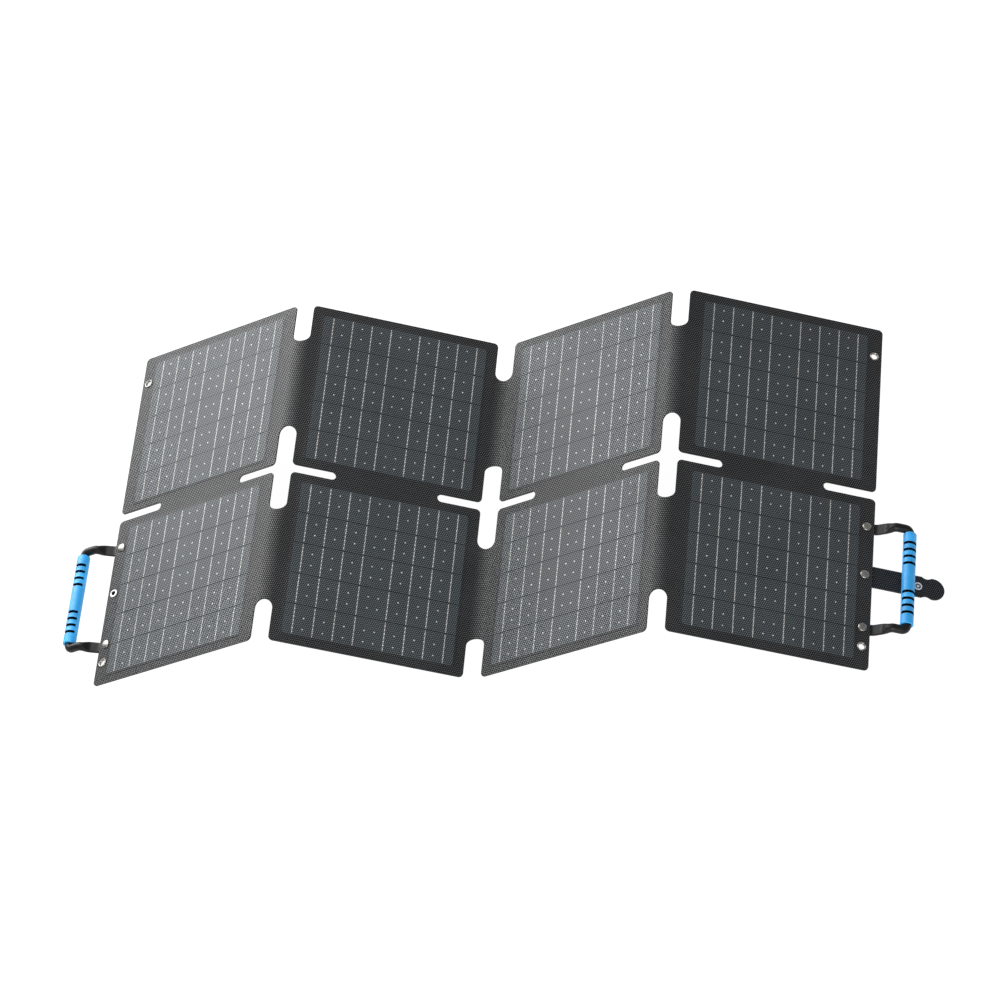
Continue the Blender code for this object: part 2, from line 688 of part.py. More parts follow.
def window_places():
    """Middles of the grip's windows along its length, from the lower end up."""
    upper = [GRIP_LENGTH / 2 - FIRST_WINDOW - i * WINDOW_PITCH for i in range(WINDOWS_PER_END)]
    return [-place for place in upper] + upper[::-1]


def tube_profile(bore, outer):
    """Closed profile of a grip tube with eased outer ends."""
    end = GRIP_LENGTH / 2
    return [(outer - GRIP_EDGE, -end), (outer, -end + GRIP_EDGE), (outer, end - GRIP_EDGE),
            (outer - GRIP_EDGE, end), (bore, end), (bore, -end)]


def add_window_cutter(mesh, place):
    """A ring sector through the sleeve's wall; it leaves a spine on the grip's back."""
    window_arc = 360 * WINDOW_SEGMENTS / GRIP_SEGMENTS
    start = 90 - window_arc / 2
    outer = arc(0, 0, GRIP_RADIUS + CUT_PAST, start, start + window_arc, WINDOW_SEGMENTS)
    inner = arc(0, 0, GRIP_BORE - GAP / 2, start + window_arc, start, WINDOW_SEGMENTS)
    sections = []
    for v in (place - WINDOW_WIDTH / 2, place + WINDOW_WIDTH / 2):
        sections.append([mesh.verts.new((u, v, w)) for u, w in outer + inner])
    count = len(outer)
    last = 2 * count - 1
    for near, far in ((0, 1), (1, 0)):
        loop = sections[near]
        for i in range(count - 1):
            corners = (loop[i], loop[i + 1], loop[last - i - 1], loop[last - i])
            mesh.faces.new(corners if near == 0 else corners[::-1])
    for i in range(2 * count):
        mesh.faces.new((sections[0][i - 1], sections[0][i], sections[1][i], sections[1][i - 1]))


# ---------------------------------------------------------------- strap

def build_strap(column_frame, band_frame, tip_frame, centre_u):
    """Webbing in three lengths: fixed root, band that wraps the edge, and tip with its snap."""
    edge_u = centre_u + OUTER_WIDTH / 2
    half = STRAP_WIDTH / 2
    root = bmesh.new()
    root_start = -INSET - STRAP_TAIL
    outline = [(root_start, -half), (WRAP_AXIS_U - GAP / 2, -half),
               (WRAP_AXIS_U - GAP / 2, half), (root_start, half)]
    hole = circle(-INSET, 0.0, RIVET_SHANK + GAP, 8)
    add_sheet(root, outline, [hole], STRAP_TOP, STRAP_THICKNESS)
    add_piece("strap_root", root, "webbing", column_frame, (edge_u, STRAP_V, 0.0))

    curl_setback = STRAP_THICKNESS / 2 + GAP / 3
    band = bmesh.new()
    add_box(band, (WRAP_AXIS_U + GAP / 2 + CURL_AXIS_U - curl_setback) / 2, 0.0,
            CURL_AXIS_U - curl_setback - WRAP_AXIS_U - GAP / 2, STRAP_WIDTH,
            STRAP_BOTTOM, STRAP_TOP)
    add_piece("strap_band", band, "webbing", band_frame,
              (-WRAP_AXIS_U, 0.0, -STRAP_BOTTOM))

    tip = bmesh.new()
    add_sheet(tip, tip_outline(CURL_AXIS_U + curl_setback),
              [circle(SNAP_U, 0.0, STUD_SHANK + GAP, 8)], STRAP_TOP, STRAP_THICKNESS)
    to_tip = (-CURL_AXIS_U, 0.0, -STRAP_MID)
    add_piece("strap_tip", tip, "webbing", tip_frame, to_tip)
    build_snap(tip_frame, to_tip)


def tip_outline(start_u):
    """Outline of the strap's tip: straight sides, a shallow scoop in each and a round pull tab."""
    half = STRAP_WIDTH / 2
    tab_u = STRAP_END_U - TAB_RADIUS
    tab_turn = degrees(acos((SCOOP_END_U - tab_u) / TAB_RADIUS))
    upper = [(start_u, half)]
    for i in range(SCOOP_STEPS):
        share = i / SCOOP_STEPS
        dip = SCOOP_DEPTH * 4 * share * (1 - share)
        upper.append((SCOOP_START_U + (SCOOP_END_U - SCOOP_START_U) * share, half - dip))
    tab = arc(tab_u, 0.0, TAB_RADIUS, tab_turn, -tab_turn, 22)
    lower = [(u, -v) for u, v in reversed(upper)]
    return upper + tab + lower


def build_snap(parent, to_tip):
    """Cap on the strap's outer face, and the socket that the stud enters on its inner face."""
    place = (to_tip[0] + SNAP_U, to_tip[1], to_tip[2])
    base = STRAP_TOP + GAP
    shank_end = STRAP_BOTTOM
    cap_top = base + CAP_HEIGHT
    cap_profile = [(0, base + GAP), (CAP_DISH, base + GAP), (CAP_DISH + SNAP_EDGE, cap_top),
                   (CAP_RADIUS - SNAP_EDGE, cap_top), (CAP_RADIUS, base), (STUD_SHANK, base),
                   (STUD_SHANK, shank_end), (0, shank_end)]
    cap = bmesh.new()
    add_turned(cap, cap_profile, 16, Matrix.Identity(4), closed=False)
    add_piece("snap_cap", cap, "nickel", parent, place, smooth=True)
    top = STRAP_BOTTOM - GAP
    end = top - SNAP_SOCKET_HEIGHT
    socket_profile = [(0, top), (SNAP_SOCKET_RADIUS - GAP, top),
                      (SNAP_SOCKET_RADIUS, top - SNAP_EDGE), (SNAP_SOCKET_RADIUS, end + SNAP_EDGE),
                      (SNAP_SOCKET_RADIUS - GAP, end), (SNAP_SOCKET_BORE, end),
                      (SNAP_SOCKET_BORE, top - SNAP_EDGE), (0, top - SNAP_EDGE)]
    socket = bmesh.new()
    add_turned(socket, socket_profile, 16, Matrix.Identity(4), closed=False)
    add_piece("snap_socket", socket, "nickel", parent, place, smooth=True)


# ---------------------------------------------------------------- junction box

def box_screw_places():
    """Screw centres in two opposite solid corners of the box."""
    half_u, half_v = BOX_LENGTH / 2 - SCREW_INSET, BOX_WIDTH / 2 - SCREW_INSET
    return {"left": (-half_u, -half_v), "right": (half_u, half_v)}


def box_pocket():
    """Inner outline of the box, with its corners left solid for the screws."""
    half_u, half_v = BOX_LENGTH / 2 - BOX_WALL, BOX_WIDTH / 2 - BOX_WALL
    short_u, short_v = half_u - POCKET_CORNER, half_v - POCKET_CORNER
    return [(half_u, -short_v), (half_u, short_v), (short_u, half_v), (-short_u, half_v),
            (-half_u, short_v), (-half_u, -short_v), (-short_u, -half_v), (short_u, -half_v)]


def build_junction_box(parent, centre_u):
    """Box on the back: tray with its gasket, lid and screws, and what it holds."""
    place = (centre_u + BOX_U, BOX_V, 0.0)
    outline = rounded_rectangle(BOX_LENGTH / 2, BOX_WIDTH / 2, BOX_CORNER)
    build_tray(outline, parent, place)
    gasket_top = BOX_RIM - GAP
    screw_holes = [circle(u, v, SCREW_HOLE, 10) for u, v in box_screw_places().values()]
    gasket = bmesh.new()
    add_sheet(gasket, outline, screw_holes + [box_pocket()], gasket_top, GASKET_THICKNESS)
    add_piece("junction_box_gasket", gasket, "rubber", parent, place)
    lid_top = gasket_top - GASKET_THICKNESS - GAP
    head_holes = [circle(u, v, SCREW_HEAD + GAP) for u, v in box_screw_places().values()]
    lid = bmesh.new()
    add_sheet(lid, outline, head_holes, lid_top, LID_THICKNESS)
    add_piece("junction_box_lid", lid, "housing", parent, place)
    build_box_screws(lid_top, parent, place)
    build_diode_board(parent, place)
    build_output_socket(parent, centre_u + SOCKET_U)


def build_tray(outline, parent, place):
    """Tray with a pocket, two screw holes and a notch for the output socket."""
    base = bmesh.new()
    add_prism(base, outline, BOX_RIM, BOX_TOP)
    tray = add_piece("junction_box_base", base, "housing", parent, place)
    pocket = bmesh.new()
    add_prism(pocket, box_pocket(), BOX_RIM - CUT_PAST, BOX_FLOOR)
    for u, v in box_screw_places().values():
        hole = circle(u, v, SCREW_HOLE, 10)
        add_prism(pocket, hole, BOX_RIM - CUT_PAST, BOX_RIM + SCREW_LENGTH + GAP)
    cut_with(tray, pocket)
    notch = bmesh.new()
    notch_length = SOCKET_LENGTH + GAP + CUT_PAST
    add_box(notch, SOCKET_U - BOX_U, BOX_WIDTH / 2 + CUT_PAST - notch_length / 2,
            2 * (SOCKET_OUTER + GAP), notch_length, BOX_RIM - CUT_PAST, BOX_TOP + CUT_PAST)
    cut_with(tray, notch)


def build_box_screws(lid_top, parent, place):
    """Two small screws through the lid and the gasket into the tray."""
    end = BOX_RIM + SCREW_LENGTH
    head_end = lid_top - LID_THICKNESS
    point = [(0, end), (SCREW_SHANK - GAP, end), (SCREW_SHANK, end - 2 * GAP)]
    head = [(SCREW_SHANK, lid_top), (SCREW_HEAD, lid_top), (SCREW_HEAD, head_end), (0, head_end)]
    for side_name, (u, v) in box_screw_places().items():
        screw = bmesh.new()
        add_turned(screw, point + head, 10, Matrix.Identity(4), closed=False)
        add_piece("junction_box_screw_" + side_name, screw, "nickel", parent,
                  (place[0] + u, place[1] + v, 0.0), smooth=True)


def build_diode_board(parent, place):
    """Circuit board in the tray with its blocking diode."""
    length, width, thickness = DIODE_BOARD
    board_top = BOX_FLOOR - thickness
    board = bmesh.new()
    add_box(board, 0.0, BOARD_SHIFT_V, length, width, board_top - thickness, board_top)
    add_piece("diode_board", board, "circuit", parent, place)
    length, width, height = DIODE
    diode_top = board_top - thickness - GAP
    diode = bmesh.new()
    add_box(diode, DIODE_SHIFT_U, BOARD_SHIFT_V, length, width, diode_top - height, diode_top)
    add_piece("blocking_diode", diode, "housing", parent, place)


def build_output_socket(parent, centre_u):
    """Round DC socket in the tray's upper wall, with its centre pin."""
    profile = [(0, SOCKET_PIN_START), (SOCKET_PIN - GAP, SOCKET_PIN_START),
               (SOCKET_PIN, SOCKET_PIN_START - GAP), (SOCKET_PIN, SOCKET_FLOOR),
               (SOCKET_INNER, SOCKET_FLOOR), (SOCKET_INNER, 0.0), (SOCKET_OUTER, 0.0),
               (SOCKET_OUTER, -SOCKET_LENGTH), (0, -SOCKET_LENGTH)]
    socket = bmesh.new()
    add_turned(socket, profile, 20, ALONG_V, closed=False)
    mouth = (centre_u, BOX_V + BOX_WIDTH / 2, (BOX_TOP + BOX_RIM) / 2)
    add_piece("output_socket", socket, "rubber", parent, mouth, smooth=True)


# ---------------------------------------------------------------- assembly

def main():
    """Build the frames on the fold axes and hang every piece on them."""
    clear_scene()
    outer_x = RIDGE_X + STRIP_WIDTH
    frames = {
        "col1": add_empty("frame_col1", (SHIFT_X - outer_x, 0.0, RIDGE_Z), -TILT),
        "crease12": add_empty("frame_crease12", (SHIFT_X - RIDGE_X, 0.0, RIDGE_Z), 0.0),
        "col2": add_empty("frame_col2", (SHIFT_X - VALLEY_X, 0.0, VALLEY_Z), TILT),
        "crease23": add_empty("frame_crease23", (SHIFT_X - VALLEY_X, 0.0, VALLEY_Z), 0.0),
        "col3": add_empty("frame_col3", (SHIFT_X + VALLEY_X, 0.0, VALLEY_Z), -TILT),
        "crease34": add_empty("frame_crease34", (SHIFT_X + RIDGE_X, 0.0, RIDGE_Z), 0.0),
        "col4": add_empty("frame_col4", (SHIFT_X + outer_x, 0.0, RIDGE_Z), TILT),
    }
    centres = {
        "col1": -(TONGUE + OUTER_WIDTH / 2),
        "col2": -(TONGUE + INNER_WIDTH / 2),
        "col3": TONGUE + INNER_WIDTH / 2,
        "col4": TONGUE + OUTER_WIDTH / 2,
    }
    for name, width, left, right in COLUMNS:
        build_column(name, width, left, right, frames[name], centres[name])
    build_crease("12", "ridge", frames["crease12"], -STRIP_WIDTH / 2)
    build_crease("23", "valley", frames["crease23"], STRIP_WIDTH / 2)
    build_crease("34", "ridge", frames["crease34"], STRIP_WIDTH / 2)
    for side_name, side, column in (("left", -1, "col1"), ("right", 1, "col4")):
        build_eyelets(side_name, side, frames[column], centres[column])
        build_rivets(side_name, side, frames[column], centres[column])
        build_handle(side_name, side, frames[column], centres[column])
    build_snap_stud(frames["col1"], centres["col1"])
    edge_u = centres["col4"] + OUTER_WIDTH / 2
    band = add_empty("frame_strap_band", (edge_u + WRAP_AXIS_U, STRAP_V, STRAP_BOTTOM), 0.0,
                     frames["col4"])
    tip = add_empty("frame_strap_tip",
                    (CURL_AXIS_U - WRAP_AXIS_U, 0.0, STRAP_MID - STRAP_BOTTOM), 0.0, band)
    build_strap(frames["col4"], band, tip, centres["col4"])
    build_junction_box(frames["col4"], centres["col4"])


main()
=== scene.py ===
"""Looks of the folding solar panel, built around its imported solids.

Each column is drawn flat, with u across it, v along the folds and w along its front normal, and is
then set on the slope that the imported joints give. Texture coordinates are metres on the laminate
laid flat, so the embossed pattern runs on through the creases. Everything is in metres.
"""
import json
from math import acos, cos, degrees, pi, radians, sin, sqrt, tan

import bmesh
import bpy
from mathutils import Matrix, Vector


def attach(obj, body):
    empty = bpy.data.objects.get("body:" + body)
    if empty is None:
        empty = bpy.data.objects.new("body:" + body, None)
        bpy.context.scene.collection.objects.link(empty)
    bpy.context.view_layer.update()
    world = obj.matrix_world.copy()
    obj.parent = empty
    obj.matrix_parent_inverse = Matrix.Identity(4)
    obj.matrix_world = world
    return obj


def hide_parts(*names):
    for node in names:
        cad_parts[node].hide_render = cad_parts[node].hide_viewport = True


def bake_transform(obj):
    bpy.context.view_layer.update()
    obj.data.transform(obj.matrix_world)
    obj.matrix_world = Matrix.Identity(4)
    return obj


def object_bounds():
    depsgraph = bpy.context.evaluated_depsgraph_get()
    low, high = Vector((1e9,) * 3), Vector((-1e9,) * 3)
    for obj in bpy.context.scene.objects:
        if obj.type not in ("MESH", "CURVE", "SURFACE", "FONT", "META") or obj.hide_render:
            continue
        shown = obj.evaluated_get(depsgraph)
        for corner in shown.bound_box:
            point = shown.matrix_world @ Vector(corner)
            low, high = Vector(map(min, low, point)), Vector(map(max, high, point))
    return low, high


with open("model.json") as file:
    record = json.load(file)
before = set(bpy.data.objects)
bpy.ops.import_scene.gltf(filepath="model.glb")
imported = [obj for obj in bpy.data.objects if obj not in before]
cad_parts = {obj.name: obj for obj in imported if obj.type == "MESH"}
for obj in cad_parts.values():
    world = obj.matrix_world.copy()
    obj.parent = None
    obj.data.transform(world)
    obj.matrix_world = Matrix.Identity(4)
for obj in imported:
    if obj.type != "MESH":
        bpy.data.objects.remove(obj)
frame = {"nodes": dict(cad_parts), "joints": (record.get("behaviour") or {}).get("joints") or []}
cad_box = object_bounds()

# Laminate, laid flat
INNER_WIDTH = 0.207
OUTER_WIDTH = 0.215
PANEL_HEIGHT = 0.2062
ROW_SLOT_HEIGHT = 0.0096
HALF_SLOT = ROW_SLOT_HEIGHT / 2
HALF_HEIGHT = HALF_SLOT + PANEL_HEIGHT
PANEL_CENTRE_V = (ROW_SLOT_HEIGHT + PANEL_HEIGHT) / 2
CORNER_RADIUS = 0.005
CREASE_WIDTH = 0.020
HALF_CREASE = CREASE_WIDTH / 2
TONGUE = 0.004
CREASE_SLOT_DEPTH = 0.048
ROW_SLOT_LENGTH = {"crease": 0.048, "edge": 0.057}

# Layers, as heights w
FILM_TOP = 0.0004
FILM_BOTTOM = -0.00028
FABRIC_TOP = -0.0003
FABRIC_BOTTOM = -0.0011
FILM_RISE = 0.0003
BACK_RISE = 0.00035

# Cells
CELL_WIDTH = 0.182
STRIP_COUNT = 5
STRIP_HEIGHT = 0.03615
STRIP_GAP = 0.0009
STRIP_PITCH = STRIP_HEIGHT + STRIP_GAP
BLOCK_HEIGHT = STRIP_COUNT * STRIP_PITCH - STRIP_GAP
CELL_CHAMFER = 0.002
CELL_PROUD = 0.00012
PRINT_SINK = 0.00002
BUSBAR_RISE = 0.00005
BEAD_RISE = 0.00009
DOT_RISE = 0.00007
CROWN_OVERHANG = 0.0008
CROWN_SLOPE = 0.0028
GAP_INSET = 0.0004
BUSBAR_PITCH = 0.0214
BUSBAR_PLACES = (0.5, 1.5, 2.5, 3.5, 5, 6, 7, 8)
DOT_PLACES = (1, 2, 3, 4, 4.5, 5.5, 6.5, 7.5)
BUSBAR_WIDTH = 0.0010
BUSBAR_BREAK = 0.0024
DOT_ROW_SPREAD = 0.0135
END_STRIP_SHIFT = 0.00375
DOT_RADIUS = 0.00078
BEAD_RADIUS = 0.00085

# Fasteners on the outer margins. An eyelet's throat flares from its middle by a parabola.
INSET = 0.0083
EYELET_V = (-0.1841, 0.1755)
HANDLE_RIVET_V = (-0.0398, -0.1613)
STRAP_V = -0.0980
HOLE_GAP = 0.0003
EYELET_BARREL = 0.00395
EYELET_THROAT = 0.00315
EYELET_FLARE = 300.0
FLANGE_THICKNESS = 0.0005
RIVET_HEAD = 0.0049
RIVET_TAIL = 0.0034
RIVET_SHANK = 0.0020
STUD_SHANK = 0.0015
ROUND_STEPS = 40

# Handles
TAB_WIDTH = 0.0126
TAB_THICKNESS = 0.0024
TAB_W = FABRIC_BOTTOM - 0.0003 - TAB_THICKNESS / 2
TUBE_RADIUS = 0.0047
GRIP_REACH = 0.0355
GRIP_W = 0.011
GRIP_RADIUS = 0.007
WINDOW_FLOOR = 0.0054
WINDOW_HALF_ARC = 74.0
GRIP_STEPS = 72
GRIP_LENGTH = 0.1102
WINDOW_PITCH = 0.00825
WINDOW_WIDTH = 0.0031
WINDOWS_PER_END = 4
FIRST_WINDOW = 0.0132
GRIP_END_RADIUS = 0.0011
HANDLE_BENDS = [0.008, 0.006, 0.0055]
CRANK_U = (0.0030, 0.0205)
ROUNDING_U = (0.0102, 0.0185)
HANDLE_V = sum(HANDLE_RIVET_V) / 2

# Closing strap
STRAP_HALF = 0.0125
STRAP_TOP = FABRIC_BOTTOM - 0.0003
STRAP_BOTTOM = STRAP_TOP - 0.0012
STRAP_START_U = -INSET - 0.0075
STRAP_SPLIT_U = 0.0340
STRAP_CUT_STEP = 0.0012
STRAP_CUTS = 51
SNAP_U = 0.0500
STRAP_END_U = 0.0790
SCOOP_START_U = 0.0540
SCOOP_END_U = 0.0646
SCOOP_DEPTH = 0.0020
SCOOP_STEPS = 16
TAB_RADIUS = 0.0125

# Junction box
BOX_U = 0.030
BOX_V = 0.120
BOX_LENGTH = 0.070
BOX_WIDTH = 0.046
BOX_CORNER = 0.005
BOX_RIM = -0.0086
LID_TOP = BOX_RIM - 0.0009
LID_BOTTOM = LID_TOP - 0.0007
PANEL_BORDER = 0.0100
PANEL_DEPTH = 0.00025
SCREW_INSET = 0.0042
SCREW_HEAD = 0.0020
SCREW_SHANK = 0.0009
CROSS_DEPTH = 0.0003

# Embossed pattern: staggered dots, as cycles per metre across and along the columns. A strip and
# its gap hold sixteen rows, so every gap lies in a groove.
EMBOSS_ACROSS = 447.0
EMBOSS_ALONG = 16 / STRIP_PITCH

# Floor
FLOOR_HALF = 30.0
FLOOR_Z = -0.0008

# Folds: the panels' slope at rest, and the fold beside each column
TILT = radians(24.72)
HALF_STRIP = HALF_CREASE - TONGUE
FOLD_BESIDE = {"col1": ("left_ridge_fold", "ridge"), "col2": ("valley_fold", "valley"),
               "col3": ("valley_fold", "valley"), "col4": ("right_ridge_fold", "ridge")}
joints = {joint["name"]: Vector(joint["pos_m"]) for joint in frame["joints"]}


# ---------- columns

class Column:
    """One column's frame: its middle, its directions, and its place on the flat laminate."""

    def __init__(self, name, width, sides, middle, across, flat_u):
        self.name = name
        self.half = width / 2
        self.sides = sides
        self.across = across
        self.normal = Vector((-across.z, 0.0, across.x))
        self.flat_u = flat_u
        self.matrix = Matrix.Identity(4)
        for i, axis in enumerate((across, Vector((0, 1, 0)), self.normal)):
            self.matrix.col[i][0:3] = axis
        self.matrix.translation = middle


def make_columns():
    """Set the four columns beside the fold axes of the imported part."""
    slope = {"down": Vector((cos(TILT), 0.0, -sin(TILT))), "up": Vector((cos(TILT), 0.0, sin(TILT)))}
    flat_u = -CREASE_WIDTH
    made = {}
    for name, width, sides, way, side in (("col1", OUTER_WIDTH, ("edge", "ridge"), "up", -1),
                                          ("col2", INNER_WIDTH, ("ridge", "valley"), "down", -1),
                                          ("col3", INNER_WIDTH, ("valley", "ridge"), "up", 1),
                                          ("col4", OUTER_WIDTH, ("ridge", "edge"), "down", 1)):
        fold, kind = FOLD_BESIDE[name]
        lift = HALF_STRIP * tan(pi / 4 - TILT / 2) * (1 if kind == "ridge" else -1)
        tongue_end = joints[fold] + Vector((side * HALF_STRIP, 0.0, lift))
        middle = tongue_end + slope[way] * (side * (TONGUE + width / 2))
        flat_u += CREASE_WIDTH + width / 2
        made[name] = Column(name, width, sides, middle, slope[way], flat_u)
        flat_u += width / 2
    return made


columns = make_columns()


# ---------- materials

def new_material(name):
    """A material with its Principled shader, ready for more nodes."""
    made = bpy.data.materials.new(name)
    made.use_nodes = True
    tree = made.node_tree
    return made, tree, tree.nodes["Principled BSDF"]


def math_node(tree, operation, first, second=None):
    """A Math node; a number is set on its socket and a socket is linked."""
    node = tree.nodes.new("ShaderNodeMath")
    node.operation = operation
    for i, value in enumerate((first, second)):
        if isinstance(value, (int, float)):
            node.inputs[i].default_value = value
        elif value is not None:
            tree.links.new(value, node.inputs[i])
    return node.outputs[0]


def map_range(tree, value, low, high, to_low=0.0, to_high=1.0, smooth=True):
    """A value moved from one range to another, eased at both ends."""
    node = tree.nodes.new("ShaderNodeMapRange")
    node.interpolation_type = "SMOOTHSTEP" if smooth else "LINEAR"
    tree.links.new(value, node.inputs["Value"])
    for name, number in (("From Min", low), ("From Max", high), ("To Min", to_low),
                         ("To Max", to_high)):
        node.inputs[name].default_value = number
    return node.outputs["Result"]


def mix_colour(tree, factor, first, second):
    """Blend two colours, each given as a colour or as a socket."""
    node = tree.nodes.new("ShaderNodeMix")
    node.data_type = "RGBA"
    tree.links.new(factor, node.inputs[0])
    for socket, value in ((node.inputs[6], first), (node.inputs[7], second)):
        if isinstance(value, tuple):
            socket.default_value = (*value, 1.0)
        else:
            tree.links.new(value, socket)
    return node.outputs[2]


def noise(tree, coordinates, scale, detail=2.0, roughness=0.5):
    """Noise in the given coordinates."""
    node = tree.nodes.new("ShaderNodeTexNoise")
    node.inputs["Scale"].default_value = scale
    node.inputs["Detail"].default_value = detail
    node.inputs["Roughness"].default_value = roughness
    tree.links.new(coordinates, node.inputs["Vector"])
    return node.outputs["Fac"]


def add_bump(tree, shader, height, distance, strength=1.0):
    """Bump from a height between 0 and 1 that stands for the given distance."""
    node = tree.nodes.new("ShaderNodeBump")
    node.inputs["Strength"].default_value = strength
    node.inputs["Distance"].default_value = distance
    tree.links.new(height, node.inputs["Height"])
    tree.links.new(node.outputs["Normal"], shader.inputs["Normal"])


def flat_coordinates(tree):
    """Metres on the flat laminate: the vector, and its across and along parts."""
    uv = tree.nodes.new("ShaderNodeUVMap")
    uv.uv_map = "UVMap"
    parts = tree.nodes.new("ShaderNodeSeparateXYZ")
    tree.links.new(uv.outputs["UV"], parts.inputs[0])
    return uv.outputs["UV"], parts.outputs["X"], parts.outputs["Y"]


def object_coordinates(tree):
    """The piece's own coordinates in metres."""
    return tree.nodes.new("ShaderNodeTexCoord").outputs["Object"]


def wave(tree, value, cycles):
    """Cosine of a coordinate, in cycles per metre."""
    return math_node(tree, "COSINE", math_node(tree, "MULTIPLY", value, 2 * pi * cycles))


def emboss_height(tree, across, along):
    """Staggered round dots, 1 on their tops and 0 between them."""
    crossed = math_node(tree, "MULTIPLY", wave(tree, across, EMBOSS_ACROSS),
                        wave(tree, along, EMBOSS_ALONG / 2))
    doubled = math_node(tree, "MULTIPLY", crossed, 2.0)
    total = math_node(tree, "ADD", doubled, wave(tree, along, EMBOSS_ALONG))
    return map_range(tree, total, -1.3, 1.5)


def embossed_material(name, groove_painted_shade, top, roughness, specular, depth=0.00014, stain=0.12):
    """Laminate film: dot tops painted bright as painted highlight, grooves painted dark as painted
    shade and made dull, and slight staining.
    """
    made, tree, shader = new_material(name)
    uv, across, along = flat_coordinates(tree)
    height = emboss_height(tree, across, along)
    # The dot tops are painted lighter and the grooves darker, as painted highlight and painted shade
    # of the emboss.
    colour = mix_colour(tree, height, groove_painted_shade, top)
    clouds = map_range(tree, noise(tree, uv, 14.0, 4.0), 0.35, 0.65, 1.0 - stain, 1.0 + stain)
    scaled = tree.nodes.new("ShaderNodeVectorMath")
    scaled.operation = "SCALE"
    tree.links.new(colour, scaled.inputs[0])
    tree.links.new(clouds, scaled.inputs["Scale"])
    tree.links.new(scaled.outputs[0], shader.inputs["Base Color"])
    grain = noise(tree, uv, 900.0, 3.0)
    spread = map_range(tree, grain, 0.3, 0.7, roughness - 0.04, roughness + 0.06)
    tree.links.new(spread, shader.inputs["Roughness"])
    shine = map_range(tree, height, 0.0, 1.0, 0.0, specular, smooth=False)
    tree.links.new(shine, shader.inputs["Specular IOR Level"])
    add_bump(tree, shader, height, depth)
    return made


def weave_material(name, dark, light, threads=1400.0, depth=0.00012):
    """Plain woven polyester: warp and weft pass over each other in turn."""
    made, tree, shader = new_material(name)
    uv, across, along = flat_coordinates(tree)
    warp = math_node(tree, "ABSOLUTE", wave(tree, across, threads / 2))
    weft = math_node(tree, "ABSOLUTE", wave(tree, along, threads / 2))
    turn = math_node(tree, "MULTIPLY", wave(tree, across, threads / 4),
                     wave(tree, along, threads / 4))
    over = map_range(tree, turn, -0.2, 0.2)
    picked = tree.nodes.new("ShaderNodeMix")
    tree.links.new(over, picked.inputs[0])
    tree.links.new(warp, picked.inputs[2])
    tree.links.new(weft, picked.inputs[3])
    height = picked.outputs[0]
    worn = map_range(tree, noise(tree, uv, 30.0, 5.0), 0.4, 0.75)
    base = mix_colour(tree, height, dark, light)
    faded = tuple(1.6 * channel for channel in light)
    colour = mix_colour(tree, math_node(tree, "MULTIPLY", worn, 0.35), base, faded)
    tree.links.new(colour, shader.inputs["Base Color"])
    shader.inputs["Roughness"].default_value = 0.85
    shader.inputs["Sheen Weight"].default_value = 0.25
    shader.inputs["Sheen Roughness"].default_value = 0.5
    shader.inputs["Specular IOR Level"].default_value = 0.2
    add_bump(tree, shader, height, depth)
    return made


def metal_material(name, colour, roughness, scratch=0.06):
    """Plated metal with fine scratches and slight tarnish."""
    made, tree, shader = new_material(name)
    place = object_coordinates(tree)
    tarnish = map_range(tree, noise(tree, place, 350.0, 4.0), 0.35, 0.7)
    dull = tuple(0.72 * channel for channel in colour)
    tree.links.new(mix_colour(tree, tarnish, colour, dull), shader.inputs["Base Color"])
    fine = noise(tree, place, 2500.0, 3.0, 0.7)
    spread = map_range(tree, fine, 0.3, 0.7, roughness, roughness + 2 * scratch)
    tree.links.new(spread, shader.inputs["Roughness"])
    shader.inputs["Metallic"].default_value = 1.0
    add_bump(tree, shader, fine, 0.00001)
    return made


def coated_material(name, colour, roughness, grain_scale=1600.0, depth=0.00002, specular=0.5):
    """Moulded or powder-coated surface with a fine grain and worn patches."""
    made, tree, shader = new_material(name)
    place = object_coordinates(tree)
    patches = map_range(tree, noise(tree, place, 60.0, 4.0), 0.4, 0.75)
    worn = tuple(min(1.0, 1.35 * channel + 0.004) for channel in colour)
    tree.links.new(mix_colour(tree, patches, colour, worn), shader.inputs["Base Color"])
    grain = noise(tree, place, grain_scale, 2.0)
    spread = map_range(tree, grain, 0.3, 0.7, roughness - 0.04, roughness + 0.08)
    tree.links.new(spread, shader.inputs["Roughness"])
    shader.inputs["Specular IOR Level"].default_value = specular
    add_bump(tree, shader, grain, depth)
    return made


